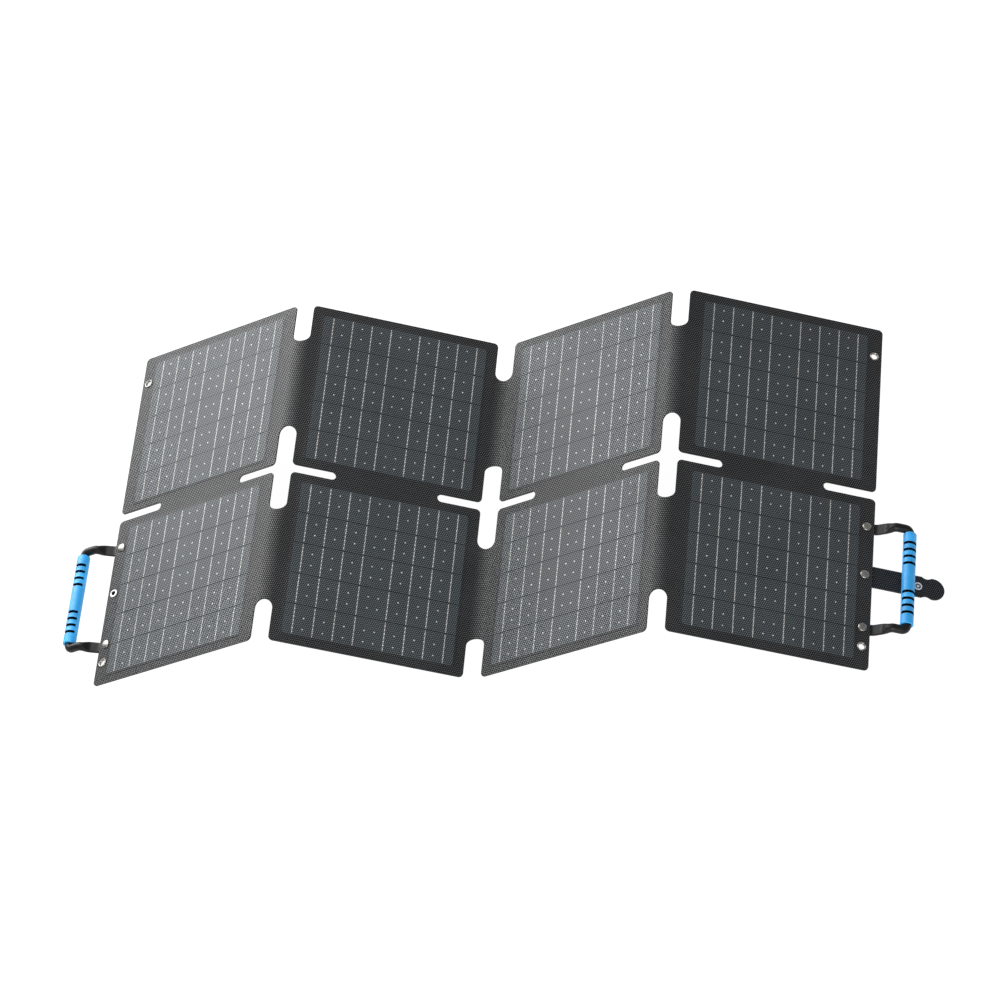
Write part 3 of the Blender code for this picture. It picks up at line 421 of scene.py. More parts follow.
MATERIALS = {
    # The film, cell, busbar and strap colours are each a groove colour and a dot-top colour: painted
    # shade in the emboss's grooves and painted highlight on its tops.
    "film": embossed_material("embossed_film", (0.002, 0.002, 0.0022), (0.050, 0.052, 0.055),
                              0.42, 0.66),
    "film_edge": coated_material("film_edge", (0.005, 0.005, 0.005), 0.80, specular=0.0),
    "cell": embossed_material("cell_under_film", (0.011, 0.014, 0.016), (0.078, 0.092, 0.102),
                              0.42, 0.85, stain=0.06),
    "busbar": embossed_material("busbar_under_film", (0.13, 0.135, 0.135), (0.66, 0.66, 0.64),
                                0.40, 0.6, stain=0.08),
    "dot": coated_material("solder_under_film", (0.46, 0.47, 0.46), 0.40),
    "strap": embossed_material("strap_laminate", (0.0005, 0.0005, 0.0007), (0.044, 0.049, 0.056),
                               0.45, 0.42, depth=0.0002),
    "fabric": weave_material("back_weave", (0.006, 0.006, 0.007), (0.030, 0.030, 0.032)),
    "nickel": metal_material("nickel_plate", (0.36, 0.345, 0.32), 0.30),
    "ring": coated_material("snap_ring", (0.82, 0.82, 0.82), 0.30),
    "snap_grey": coated_material("snap_cap_rim", (0.56, 0.58, 0.63), 0.30),
    "snap_dark": coated_material("snap_centre", (0.020, 0.026, 0.045), 0.35),
    "black_hole": coated_material("stud_centre", (0.002, 0.002, 0.002), 0.60, specular=0.1),
    "steel": coated_material("powder_coat", (0.0028, 0.0030, 0.0032), 0.40, 2200.0, 0.00001, 0.28),
    "grip": coated_material("grip_blue", (0.022, 0.295, 0.66), 0.40, 1800.0, 0.000012),
    "rubber": coated_material("grip_core_rubber_and_wall_shade", (0.0012, 0.0012, 0.0014), 0.70, specular=0.05),
    "housing": coated_material("housing_plastic", (0.016, 0.016, 0.017), 0.50, 1300.0, 0.00004),
    "gasket": coated_material("gasket_rubber", (0.010, 0.010, 0.010), 0.70),
    "circuit": coated_material("solder_mask", (0.015, 0.10, 0.035), 0.45),
    "board": weave_material("glass_fibre_board", (0.16, 0.18, 0.11), (0.26, 0.29, 0.18)),
}


# ---------- mesh helpers

def arc(centre_u, centre_v, radius, start, end, steps):
    """Points on an arc from start to end, in degrees, both ends included."""
    angles = [radians(start + (end - start) * i / steps) for i in range(steps + 1)]
    return [(centre_u + radius * cos(a), centre_v + radius * sin(a)) for a in angles]


def circle(centre_u, centre_v, radius, steps=ROUND_STEPS):
    """A closed loop of points, without the repeated end."""
    return arc(centre_u, centre_v, radius, 0, 360, steps)[:-1]


def rounded_rectangle(half_u, half_v, radius, centre_u=0.0, centre_v=0.0, steps=6):
    """Corner arcs of a rectangle, counter-clockwise."""
    points = []
    for turn, (side_u, side_v) in enumerate(((1, 1), (-1, 1), (-1, -1), (1, -1))):
        corner_u = centre_u + side_u * (half_u - radius)
        corner_v = centre_v + side_v * (half_v - radius)
        points += arc(corner_u, corner_v, radius, 90 * turn, 90 * turn + 90, steps)
    return points


def ring(mesh, points, height):
    """A closed loop of vertices and edges at one height."""
    verts = [mesh.verts.new((u, v, height)) for u, v in points]
    edges = [mesh.edges.new((verts[i - 1], vert)) for i, vert in enumerate(verts)]
    return verts, edges


def bridge(mesh, first, second):
    """Quads between two rings with the same number of vertices."""
    for i, vert in enumerate(first):
        mesh.faces.new((first[i - 1], vert, second[i], second[i - 1]))


def flat_sheet(mesh, outline, holes, top, bottom, pillows=()):
    """A sheet with holes; each pillow is a list of (outline, height above the top)."""
    before = set(mesh.faces)
    edges = ring(mesh, outline, top)[1]
    for hole in holes:
        edges += ring(mesh, hole, top)[1]
    for rings in pillows:
        lower, base_edges = ring(mesh, rings[0][0], top)
        edges += base_edges
        for points, rise in rings[1:]:
            upper = ring(mesh, points, top + rise)[0]
            bridge(mesh, lower, upper)
            lower = upper
        mesh.faces.new(lower)
    bmesh.ops.triangle_fill(mesh, use_beauty=True, edges=edges)
    faces = [face for face in mesh.faces if face not in before]
    made = bmesh.ops.extrude_face_region(mesh, geom=faces)["geom"]
    moved = [item for item in made if isinstance(item, bmesh.types.BMVert)]
    bmesh.ops.translate(mesh, verts=moved, vec=(0.0, 0.0, bottom - top))


def loft(mesh, sections):
    """A solid through (outline, height) sections with equal point counts."""
    rings = [[mesh.verts.new((u, v, height)) for u, v in outline] for outline, height in sections]
    for lower, upper in zip(rings, rings[1:]):
        bridge(mesh, lower, upper)
    mesh.faces.new(rings[0])
    mesh.faces.new(rings[-1])


def turned(mesh, profile, place, closed, segments=ROUND_STEPS, material_of=None):
    """Turn (radius, height) points about Z; material_of gives each profile span its material."""
    rings = []
    for radius, height in profile:
        count = 1 if radius == 0 else segments
        angles = [2 * pi * i / segments for i in range(count)]
        points = [Vector((radius * cos(a), radius * sin(a), height)) for a in angles]
        rings.append([mesh.verts.new(place @ point) for point in points])
    pairs = list(zip(rings, rings[1:]))
    if closed:
        pairs.append((rings[-1], rings[0]))
    for span, (first, second) in enumerate(pairs):
        for i in range(segments):
            if len(first) == 1:
                corners = (first[0], second[i], second[i - 1])
            elif len(second) == 1:
                corners = (first[i - 1], first[i], second[0])
            else:
                corners = (first[i - 1], first[i], second[i], second[i - 1])
            face = mesh.faces.new(corners)
            if material_of:
                face.material_index = material_of(span)


def dome(radius, base, height, steps=8):
    """Profile of a shallow cap from its rim at base up to the axis."""
    points = []
    for i in range(steps):
        angle = pi / 2 * i / steps
        points.append((radius * cos(angle), base + height * sin(angle)))
    return points + [(0, base + height)]


def smooth_step(value, low, high):
    """0 below low, 1 above high, smooth between."""
    t = min(max((value - low) / (high - low), 0.0), 1.0)
    return t * t * (3 - 2 * t)


def back_faces_second(mesh, limit=0.3):
    """Give the second material to the faces that look sideways or back."""
    bmesh.ops.recalc_face_normals(mesh, faces=mesh.faces[:])
    for face in mesh.faces:
        if face.normal.z < limit:
            face.material_index = 1


def write_flat_uv(mesh, flat_u):
    """Texture coordinates in metres from a mesh that is still flat."""
    layer = mesh.loops.layers.uv.new("UVMap")
    for face in mesh.faces:
        for corner in face.loops:
            corner[layer].uv = (corner.vert.co.x + flat_u, corner.vert.co.y)


def add_object(name, mesh, materials, matrix=None, smooth=30, flat_fill=False):
    """Make the object from a bmesh, with outward normals; flat_fill leaves filled faces flat."""
    if matrix is not None:
        bmesh.ops.transform(mesh, matrix=matrix, verts=mesh.verts[:])
    bmesh.ops.recalc_face_normals(mesh, faces=mesh.faces[:])
    data = bpy.data.meshes.new(name)
    mesh.to_mesh(data)
    mesh.free()
    for key in materials:
        data.materials.append(MATERIALS[key])
    data.shade_smooth()
    if flat_fill:
        for face in data.polygons:
            face.use_smooth = len(face.vertices) == 4
    data.set_sharp_from_angle(angle=radians(smooth))
    piece = bpy.data.objects.new(name, data)
    bpy.context.scene.collection.objects.link(piece)
    return piece


def settle(piece, body, slot, *nodes):
    """Let a piece ride on a body and stand for its nodes; slot is not used."""
    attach(piece, body)
    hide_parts(*nodes)


# ---------- laminate

def half_side(half, kind):
    """A column's right side from the middle of its row slot up to its upper corner."""
    slot = ROW_SLOT_LENGTH["edge" if kind == "edge" else "crease"]
    points = arc(half - slot + HALF_SLOT, 0, HALF_SLOT, 180, 90, 8)
    points += arc(half - CORNER_RADIUS, HALF_SLOT + CORNER_RADIUS, CORNER_RADIUS, -90, 0, 8)
    points += arc(half - CORNER_RADIUS, HALF_HEIGHT - CORNER_RADIUS, CORNER_RADIUS, 0, 90, 8)
    return points


def column_outline(column):
    """Outline of one column between its panels' edges."""
    right = half_side(column.half, column.sides[1])
    left = half_side(column.half, column.sides[0])
    right = [(u, -v) for u, v in reversed(right[1:])] + right
    left = [(u, -v) for u, v in reversed(left[1:])] + left
    return right + [(-u, v) for u, v in reversed(left)]


def fastener_holes(column):
    """Holes for the eyelets, rivets and stud; only the outer columns have any."""
    if "edge" not in column.sides:
        return []
    side = -1 if column.sides[0] == "edge" else 1
    u = side * (column.half - INSET)
    shank = STUD_SHANK if side < 0 else RIVET_SHANK
    holes = [circle(u, v, EYELET_BARREL + HOLE_GAP) for v in EYELET_V]
    holes += [circle(u, v, RIVET_SHANK + HOLE_GAP, 20) for v in HANDLE_RIVET_V]
    return holes + [circle(u, STRAP_V, shank + HOLE_GAP, 20)]


def pillow(row, rise, steps=8):
    """Rings of the soft rise over one cell block, up to just inside the cells' outline."""
    rings = []
    shares = [i / steps for i in range(steps + 1)]
    outs = [CROWN_OVERHANG + CROWN_SLOPE * (1 - share) for share in shares] + [-GAP_INSET]
    for out, share in zip(outs, shares + [1.0]):
        points = rounded_rectangle(CELL_WIDTH / 2 + out, BLOCK_HEIGHT / 2 + out, 0.003,
                                   0.0, row * PANEL_CENTRE_V)
        rings.append((points, rise * smooth_step(share, 0.0, 1.0)))
    return rings


def darken_edges(mesh):
    """Give cut edges, and the film showing between the cells, their dull dark material."""
    mesh.normal_update()
    for face in mesh.faces:
        if abs(face.normal.z) < 0.3 or (len(face.verts) > 20 and face.normal.z > 0.9):
            face.material_index = 1


def build_laminate(column):
    """Front film and back fabric of one column."""
    outline = column_outline(column)
    holes = fastener_holes(column)
    film = bmesh.new()
    flat_sheet(film, outline, holes, FILM_TOP, FILM_BOTTOM,
               [pillow(row, FILM_RISE) for row in (-1, 1)])
    write_flat_uv(film, column.flat_u)
    bmesh.ops.recalc_face_normals(film, faces=film.faces[:])
    darken_edges(film)
    front = add_object("film_" + column.name, film, ["film", "film_edge"], column.matrix,
                       flat_fill=True)
    settle(front, column.name, "film", "front_film_" + column.name)
    fabric = bmesh.new()
    flat_sheet(fabric, outline, holes, FABRIC_BOTTOM, FABRIC_TOP,
               [pillow(row, -BACK_RISE) for row in (-1, 1)])
    write_flat_uv(fabric, column.flat_u)
    back = add_object("fabric_" + column.name, fabric, ["fabric"], column.matrix, flat_fill=True)
    settle(back, column.name, "back_fabric", "back_fabric_" + column.name)


def slice_across(mesh, kept, strips=14):
    """Cut the newest pieces of a crease into narrow strips along the fold."""
    for i in range(1, strips):
        new = [item for item in (*mesh.verts, *mesh.edges, *mesh.faces)
               if not kept.intersection(item.verts if hasattr(item, "verts") else (item,))]
        bmesh.ops.bisect_plane(mesh, geom=new, dist=1e-7,
                               plane_co=(HALF_CREASE * i / strips, 0, 0), plane_no=(1, 0, 0))


def open_middle(mesh, left_edge, right_edge):
    """Join the two halves of a crease: drop the walls between them and weld their rims."""
    middle = (left_edge + right_edge) / 2
    walls = [face for face in mesh.faces
             if all(abs(vert.co.x - middle.x) < 1e-6 for vert in face.verts)]
    bmesh.ops.delete(mesh, geom=walls, context="FACES")
    bmesh.ops.remove_doubles(mesh, verts=mesh.verts[:], dist=2e-5)


def crease_half_outline(row):
    """Half of a crease in one row, from the panel's edge at 0 to its middle, laid flat."""
    lower = HALF_SLOT + CREASE_SLOT_DEPTH - HALF_CREASE
    upper = HALF_HEIGHT - CREASE_SLOT_DEPTH + HALF_CREASE
    points = arc(HALF_CREASE, lower, HALF_CREASE, 180, 90, 14)
    points += arc(HALF_CREASE, upper, HALF_CREASE, 270, 180, 14)
    return [(u, row * v) for u, v in points]


def bend_crease(verts, column, side, kind):
    """Roll a flat half crease round the fold; side is where it lies on its column."""
    turn = -1 if kind == "ridge" else 1
    radius = (TONGUE + HALF_STRIP / cos(TILT)) / tan(TILT)
    outward = column.across * side
    start = column.matrix.translation + outward * column.half
    for vert in verts:
        angle = TILT * vert.co.x / HALF_CREASE
        normal = column.normal * cos(angle) - outward * (turn * sin(angle))
        bend_centre = start + column.normal * (turn * radius)
        place = bend_centre + normal * (vert.co.z - turn * radius)
        vert.co = (place.x, vert.co.y, place.z)


def crease_edge(column, side):
    """The point where a column's panels end and its crease begins."""
    return column.matrix.translation + column.across * (side * column.half)


def build_crease(crease, kind, left, right):
    """Film and fabric of a crease, bent between the columns on both sides of it."""
    for layer, top, bottom, slot in (("film", FILM_TOP, FILM_BOTTOM, "film"),
                                     ("fabric", FABRIC_TOP, FABRIC_BOTTOM, "back_fabric")):
        whole = bmesh.new()
        uv = whole.loops.layers.uv.new("UVMap")
        for column, side in ((left, 1), (right, -1)):
            old_verts, old_faces = set(whole.verts), set(whole.faces)
            for row in (-1, 1):
                flat_sheet(whole, crease_half_outline(row), [], top, bottom)
            slice_across(whole, old_verts)
            verts = [vert for vert in whole.verts if vert not in old_verts]
            faces = [face for face in whole.faces if face not in old_faces]
            for face in faces:
                if layer == "film" and abs(face.calc_center_median().z - FILM_TOP) > 1e-5:
                    face.material_index = 1
                for corner in face.loops:
                    place = corner.vert.co
                    corner[uv].uv = (column.flat_u + side * (column.half + place.x), place.y)
            bend_crease(verts, column, side, kind)
        open_middle(whole, crease_edge(left, 1), crease_edge(right, -1))
        piece = add_object(f"crease{crease}_{layer}", whole, [layer, "film_edge"])
        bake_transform(piece)
        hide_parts(f"crease{crease}_top", f"crease{crease}_bottom")


def cell_strip_outline(index, row):
    """Outline of one strip; the first and last have the wafer's cut corners."""
    half = CELL_WIDTH / 2
    low = row * PANEL_CENTRE_V - BLOCK_HEIGHT / 2 + index * STRIP_PITCH
    high = low + STRIP_HEIGHT
    cut_low = CELL_CHAMFER if index == 0 else 0.0
    cut_high = CELL_CHAMFER if index == STRIP_COUNT - 1 else 0.0
    right = [(half - cut_low, low), (half, low + cut_low), (half, high - cut_high),
             (half - cut_high, high)]
    if not cut_low:
        right.pop(0)
    if not cut_high:
        right.pop()
    return right + [(-u, v) for u, v in reversed(right)]


def dot_rows(index):
    """Heights of the two dot rows above the middle of one strip."""
    shift = {0: -END_STRIP_SHIFT, STRIP_COUNT - 1: END_STRIP_SHIFT}.get(index, 0.0)
    return (shift - DOT_ROW_SPREAD / 2, shift + DOT_ROW_SPREAD / 2)


def build_cells(column, row, row_name):
    """Cell strips, busbars with their beads, and solder dots of one panel."""
    surface = FILM_TOP + FILM_RISE
    cell_top = surface + CELL_PROUD
    tag = f"{row_name}_{column.name}"
    strips, bars, dots = bmesh.new(), bmesh.new(), bmesh.new()
    left = -CELL_WIDTH / 2
    for index in range(STRIP_COUNT):
        outline = cell_strip_outline(index, row)
        loft(strips, [(outline, surface - CELL_PROUD), (outline, cell_top)])
        middle = row * PANEL_CENTRE_V + (index - (STRIP_COUNT - 1) / 2) * STRIP_PITCH
        half_length = (STRIP_PITCH - BUSBAR_BREAK) / 2
        for place in BUSBAR_PLACES:
            u = left + place * BUSBAR_PITCH
            bar = rounded_rectangle(BUSBAR_WIDTH / 2, half_length, BUSBAR_WIDTH / 2.1, u, middle, 3)
            loft(bars, [(bar, cell_top - PRINT_SINK), (bar, cell_top + BUSBAR_RISE)])
            for v in dot_rows(index):
                bead = [(u + x, middle + v + 1.5 * y) for x, y in circle(0, 0, BEAD_RADIUS, 10)]
                loft(bars, [(bead, cell_top + PRINT_SINK), (bead, cell_top + BEAD_RISE)])
        for place in DOT_PLACES:
            u = left + place * BUSBAR_PITCH
            for v in dot_rows(index):
                dot = circle(u, middle + v, DOT_RADIUS, 10)
                loft(dots, [(dot, cell_top - PRINT_SINK), (dot, cell_top + DOT_RISE)])
    for mesh, name, key in ((strips, "cells_", "cell"), (bars, "busbars_", "busbar"),
                            (dots, "solder_dots_", "dot")):
        write_flat_uv(mesh, column.flat_u)
        piece = add_object(name + tag, mesh, [key], column.matrix)
        settle(piece, column.name, "cell", "cell_string_" + tag)


# ---------- fasteners

def edge_matrix(column, side):
    """Frame on a column's outer edge, with u pointing away from the panel."""
    mirror = Matrix.Scale(side, 4, (1, 0, 0))
    return column.matrix @ Matrix.Translation((side * column.half, 0, 0)) @ mirror


def eyelet_profile():
    """Rolled eyelet: round flange in front, flared bore, rolled tail behind."""
    front = FILM_TOP + HOLE_GAP
    back = FABRIC_BOTTOM - HOLE_GAP
    middle = (FILM_TOP + FABRIC_BOTTOM) / 2
    top, bottom = front + FLANGE_THICKNESS, back - FLANGE_THICKNESS
    lip = arc(0.0043, front, 0.0007, 0, 80, 5)
    tail = arc(0.0042, back, 0.0006, -80, 0, 5)
    outside = lip[::-1] + [(EYELET_BARREL, front), (EYELET_BARREL, back)] + tail[::-1]
    steps = 12
    heights = [bottom + (top - bottom) * i / steps for i in range(steps + 1)]
    return outside + [(EYELET_THROAT + EYELET_FLARE * (h - middle) ** 2, h) for h in heights]


def rivet_profile(clamped_bottom):
    """Domed head, shank and set tail."""
    tail_top = clamped_bottom - HOLE_GAP
    rim = FILM_TOP + 2 * HOLE_GAP
    head = dome(RIVET_HEAD, rim, 0.0016, 10)[::-1]
    tail = dome(RIVET_TAIL, 0.0, 0.0010, 6)
    return (head + [(RIVET_HEAD - HOLE_GAP, FILM_TOP + HOLE_GAP), (RIVET_SHANK, FILM_TOP + HOLE_GAP),
                    (RIVET_SHANK, tail_top)]
            + [(radius, tail_top - height) for radius, height in tail])


def build_fasteners(column, side, side_name):
    """Eyelets and rivets on one outer margin, and the snap's stud on the left."""
    matrix = edge_matrix(column, side)
    for v, row_name in zip(EYELET_V, ("bottom", "top")):
        mesh = bmesh.new()
        turned(mesh, eyelet_profile(), Matrix.Translation((-INSET, v, 0)), True, 48)
        node = f"eyelet_{side_name}_{row_name}"
        piece = add_object("rolled_" + node, mesh, ["nickel"], matrix)
        settle(piece, column.name, "nickel", node)
    tab_bottom = TAB_W - TAB_THICKNESS / 2
    rivets = [(f"handle_rivet_{side_name}_upper", HANDLE_RIVET_V[0], tab_bottom),
              (f"handle_rivet_{side_name}_lower", HANDLE_RIVET_V[1], tab_bottom)]
    if side > 0:
        rivets.append(("strap_rivet", STRAP_V, STRAP_BOTTOM))
    for node, v, bottom in rivets:
        mesh = bmesh.new()
        turned(mesh, rivet_profile(bottom), Matrix.Translation((-INSET, v, 0)), False)
        piece = add_object("domed_" + node, mesh, ["nickel"], matrix)
        settle(piece, column.name, "nickel", node)
    if side < 0:
        build_stud(column, matrix)


def build_stud(column, matrix):
    """Snap stud: pale ring round a dark post."""
    front = FILM_TOP + HOLE_GAP
    back = FABRIC_BOTTOM - HOLE_GAP
    post = dome(0.0019, front + 0.0012, 0.0014, 6)[::-1] + [(0.0017, front + 0.0001)]
    ring_profile = arc(0.00355, front + 0.0001, 0.0011, 165, 5, 10)
    tail = [(STUD_SHANK, front), (STUD_SHANK, back), (0.0036, back), (0.0034, back - 0.0005),
            (0.0028, back - 0.0007), (0, back - 0.0007)]
    first_ring = len(post)
    last_ring = first_ring + len(ring_profile) - 1
    mesh = bmesh.new()
    turned(mesh, post + ring_profile + tail, Matrix.Translation((-INSET, STRAP_V, 0)), False,
           material_of=lambda span: 1 if first_ring <= span < last_ring else 0)
    piece = add_object("snap_stud_ring", mesh, ["black_hole", "ring"], matrix)
    settle(piece, column.name, "nickel", "snap_stud")


# ---------- handles

def filleted_path(corners, radii, steps):
    """Points along straight runs with an arc at each inner corner."""
    points = [corners[0]]
    for before, corner, after, radius in zip(corners, corners[1:], corners[2:], radii):
        back = (before - corner).normalized()
        ahead = (after - corner).normalized()
        half_angle = back.angle(ahead) / 2
        centre = corner + (back + ahead).normalized() * (radius / sin(half_angle))
        start = corner + back * radius / sqrt(1 / cos(half_angle) ** 2 - 1)
        arm = start - centre
        axis = back.cross(ahead).normalized()
        sweep = -(pi - 2 * half_angle)
        for i in range(steps + 1):
            points.append(centre + Matrix.Rotation(sweep * i / steps, 3, axis) @ arm)
    return points + [corners[-1]]


def handle_path():
    """Centre line of a handle, from one tab's end to the other, about the handle's middle."""
    arm_v = (HANDLE_RIVET_V[0] - HANDLE_RIVET_V[1]) / 2
    side = [Vector((-INSET - TAB_WIDTH / 2, arm_v, TAB_W)), Vector((CRANK_U[0], arm_v, TAB_W)),
            Vector((CRANK_U[1], arm_v, GRIP_W)), Vector((GRIP_REACH, arm_v, GRIP_W))]
    corners = side + [Vector((p.x, -p.y, p.z)) for p in reversed(side)]
    sparse = filleted_path(corners, HANDLE_BENDS + HANDLE_BENDS[::-1], 9)
    path = [sparse[0]]
    for before, after in zip(sparse, sparse[1:]):
        length = (after - before).length
        count = 1 if length > 0.05 else max(1, round(length / 0.0009))
        path += [before.lerp(after, (i + 1) / count) for i in range(count)]
    return path


def handle_section(u):
    """Half width, half thickness and squareness of the tube at one distance from the edge."""
    round_off = smooth_step(u, *ROUNDING_U)
    end = -INSET - TAB_WIDTH / 2
    into_tab = min((u - end) / (TAB_WIDTH / 2), 1.0)
    plan = sqrt(max(1 - (1 - into_tab) ** 2, 0.03))
    half_width = (TAB_WIDTH / 2 * (1 - round_off) + TUBE_RADIUS * round_off) * plan
    half_thickness = TAB_THICKNESS / 2 * (1 - round_off) + TUBE_RADIUS * round_off
    return half_width, half_thickness, 5.0 - 3.0 * round_off


def swept_tube(mesh, path, segments=36):
    """Sweep the handle's changing section along its path."""
    side = Vector((0, 1, 0))
    rings = []
    for i, centre in enumerate(path):
        ahead = (path[min(i + 1, len(path) - 1)] - path[max(i - 1, 0)]).normalized()
        side = (side - ahead * side.dot(ahead)).normalized()
        up = ahead.cross(side)
        half_width, half_thickness, power = handle_section(centre.x)
        verts = []
        for k in range(segments):
            angle = 2 * pi * k / segments
            along_side = abs(cos(angle)) ** (2 / power) * (1 if cos(angle) > 0 else -1)
            along_up = abs(sin(angle)) ** (2 / power) * (1 if sin(angle) > 0 else -1)
            offset = side * (half_width * along_side) + up * (half_thickness * along_up)
            verts.append(mesh.verts.new(centre + offset))
        rings.append(verts)
    for first, second in zip(rings, rings[1:]):
        bridge(mesh, first, second)
    mesh.faces.new(rings[0])
    mesh.faces.new(rings[-1])


def grip_profile():
    """Half profile of the grip along its length: (radius, place, is it inside a window)."""
    end = GRIP_LENGTH / 2
    bore = TUBE_RADIUS + HOLE_GAP
    upper = [end - FIRST_WINDOW - i * WINDOW_PITCH for i in range(WINDOWS_PER_END)]
    places = [-place for place in upper] + upper[::-1]
    half, ease = WINDOW_WIDTH / 2, 0.00020
    points = [(bore, -end + 0.0004, False)]
    corner = arc(GRIP_RADIUS - GRIP_END_RADIUS, end - GRIP_END_RADIUS, GRIP_END_RADIUS, 0, 90, 6)
    points += [(radius, -v, False) for radius, v in reversed(corner)]
    for i, place in enumerate(places):
        points += [(GRIP_RADIUS, place - half - ease, False),
                   (GRIP_RADIUS - ease, place - half, False), (GRIP_RADIUS, place - half, True),
                   (GRIP_RADIUS, place + half, True), (GRIP_RADIUS - ease, place + half, False),
                   (GRIP_RADIUS, place + half + ease, False)]
        if i in (WINDOWS_PER_END - 1, len(places) - 1):
            continue
        middle = place + WINDOW_PITCH / 2
        points += [(GRIP_RADIUS, middle - 0.0005, False), (GRIP_RADIUS - 0.00012, middle, False),
                   (GRIP_RADIUS, middle + 0.0005, False)]
    points += [(radius, v, False) for radius, v in corner]
    return points + [(bore, end - 0.0004, False)]


def turn_grip(mesh):
    """Turn the grip about its tube, sinking its windows only on its front."""
    rings = []
    for radius, place, inside in grip_profile():
        verts = []
        for k in range(GRIP_STEPS):
            angle = 360 * k / GRIP_STEPS
            sunk = inside and abs(angle - 180) > 180 - WINDOW_HALF_ARC
            reach = WINDOW_FLOOR if sunk else radius
            verts.append(mesh.verts.new((reach * sin(radians(angle)), place,
                                         reach * cos(radians(angle)))))
        rings.append(verts)
    for first, second in zip(rings, rings[1:] + rings[:1]):
        for k in range(GRIP_STEPS):
            face = mesh.faces.new((first[k - 1], first[k], second[k], second[k - 1]))
            # Faces touching a window's floor take the black core rubber; on the window walls that
            # black is painted shade.
            depths = [sqrt(vert.co.x ** 2 + vert.co.z ** 2) for vert in face.verts]
            if min(abs(depth - WINDOW_FLOOR) for depth in depths) < 1e-6:
                face.material_index = 1


def build_handle(column, side, side_name):
    """Bent tube with flattened ends, and its grip."""
    matrix = edge_matrix(column, side)
    tube = bmesh.new()
    swept_tube(tube, handle_path())
    to_handle = matrix @ Matrix.Translation((0, HANDLE_V, 0))
    piece = add_object("bent_tube_" + side_name, tube, ["steel"], to_handle, 40)
    settle(piece, column.name, "handle_tube", "handle_tube_" + side_name)
    grip = bmesh.new()
    turn_grip(grip)
    place = matrix @ Matrix.Translation((GRIP_REACH, HANDLE_V, GRIP_W))
    piece = add_object("grip_" + side_name, grip, ["grip", "rubber"], place, 35)
    settle(piece, column.name, "grip", "grip_sleeve_" + side_name, "grip_core_" + side_name)


# ---------- strap

def strap_outline():
    """Strap from its riveted end to its round pull tab, with a scoop in each side before it."""
    tab_u = STRAP_END_U - TAB_RADIUS
    turn = degrees(acos((SCOOP_END_U - tab_u) / TAB_RADIUS))
    upper = [(STRAP_START_U, STRAP_HALF)]
    for i in range(SCOOP_STEPS):
        share = i / SCOOP_STEPS
        dip = SCOOP_DEPTH * 4 * share * (1 - share)
        upper.append((SCOOP_START_U + (SCOOP_END_U - SCOOP_START_U) * share, STRAP_HALF - dip))
    tab = arc(tab_u, 0.0, TAB_RADIUS, turn, -turn, 48)
    return upper + tab + [(u, -v) for u, v in reversed(upper)]


def cut_across(mesh, u, **sides):
    """Cut a mesh at one u, and clear a side of it if told to; returns what was cut."""
    geometry = mesh.verts[:] + mesh.edges[:] + mesh.faces[:]
    return bmesh.ops.bisect_plane(mesh, geom=geometry, dist=1e-7, plane_co=(u, 0, 0),
                                  plane_no=(1, 0, 0), **sides)["geom_cut"]


def build_strap(column):
    """Strap laminate, in two lengths split across the strap."""
    matrix = edge_matrix(column, 1)
    for word, near in (("root", True), ("tip", False)):
        mesh = bmesh.new()
        holes = [circle(-INSET, 0, RIVET_SHANK + HOLE_GAP, 20),
                 circle(SNAP_U, 0, STUD_SHANK + HOLE_GAP, 20)]
        flat_sheet(mesh, strap_outline(), holes, STRAP_TOP, STRAP_BOTTOM)
        for i in range(1, STRAP_CUTS + 1):
            cut_across(mesh, STRAP_START_U + STRAP_CUT_STEP * i)
        cut = cut_across(mesh, STRAP_SPLIT_U, clear_outer=near, clear_inner=not near)
        rim = [item for item in cut if isinstance(item, bmesh.types.BMEdge)]
        bmesh.ops.holes_fill(mesh, edges=rim, sides=0)
        write_flat_uv(mesh, column.flat_u + column.half)
        back_faces_second(mesh)
        bmesh.ops.translate(mesh, verts=mesh.verts[:], vec=(0, STRAP_V, 0))
        piece = add_object("strap_laminate_" + word, mesh, ["strap", "fabric"], matrix)
        bodies = ("col4", "strap_band") if near else ("strap_band", "strap_tip")
        nodes = ("strap_root",) if near else bodies
        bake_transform(piece)
        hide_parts(*nodes)
    build_snap(matrix)


def build_snap(matrix):
    """The snap's cap on the strap's outer face, and its socket behind."""
    base = STRAP_TOP + HOLE_GAP
    cap = dome(0.0016, base + 0.0002, 0.0006, 5)[::-1] + [(0.0021, base + 0.0001)]
    dish_spans = (4, 6)
    cap += arc(0.0037, base + 0.0001, 0.0008, 160, 0, 10)
    cap += [(STUD_SHANK, base), (STUD_SHANK, STRAP_BOTTOM), (0, STRAP_BOTTOM)]
    mesh = bmesh.new()
    place = Matrix.Translation((SNAP_U, STRAP_V, 0))
    turned(mesh, cap, place, False,
           material_of=lambda span: 1 if dish_spans[0] < span <= dish_spans[1] else 0)
    piece = add_object("snap_cap_ring", mesh, ["snap_grey", "snap_dark"], matrix)
    settle(piece, "strap_tip", "nickel", "snap_cap")
    top = STRAP_BOTTOM - HOLE_GAP
    profile = [(0, top)] + arc(0.0038, top - 0.0005, 0.0005, 90, 0, 4)
    profile += arc(0.0038, top - 0.0014, 0.0005, 0, -90, 4)
    profile += [(0.0026, top - 0.0019), (0.0023, top - 0.0016), (0.0023, top - 0.0004),
                (0, top - 0.0004)]
    mesh = bmesh.new()
    turned(mesh, profile, place, False)
    piece = add_object("snap_socket_ring", mesh, ["nickel"], matrix)
    settle(piece, "strap_tip", "nickel", "snap_socket")


# ---------- junction box

def box_outline(out=0.0):
    """Outline of the junction box, grown or shrunk by out."""
    return rounded_rectangle(BOX_LENGTH / 2 + out, BOX_WIDTH / 2 + out,
                             max(BOX_CORNER + out, 0.001), BOX_U, BOX_V, 8)


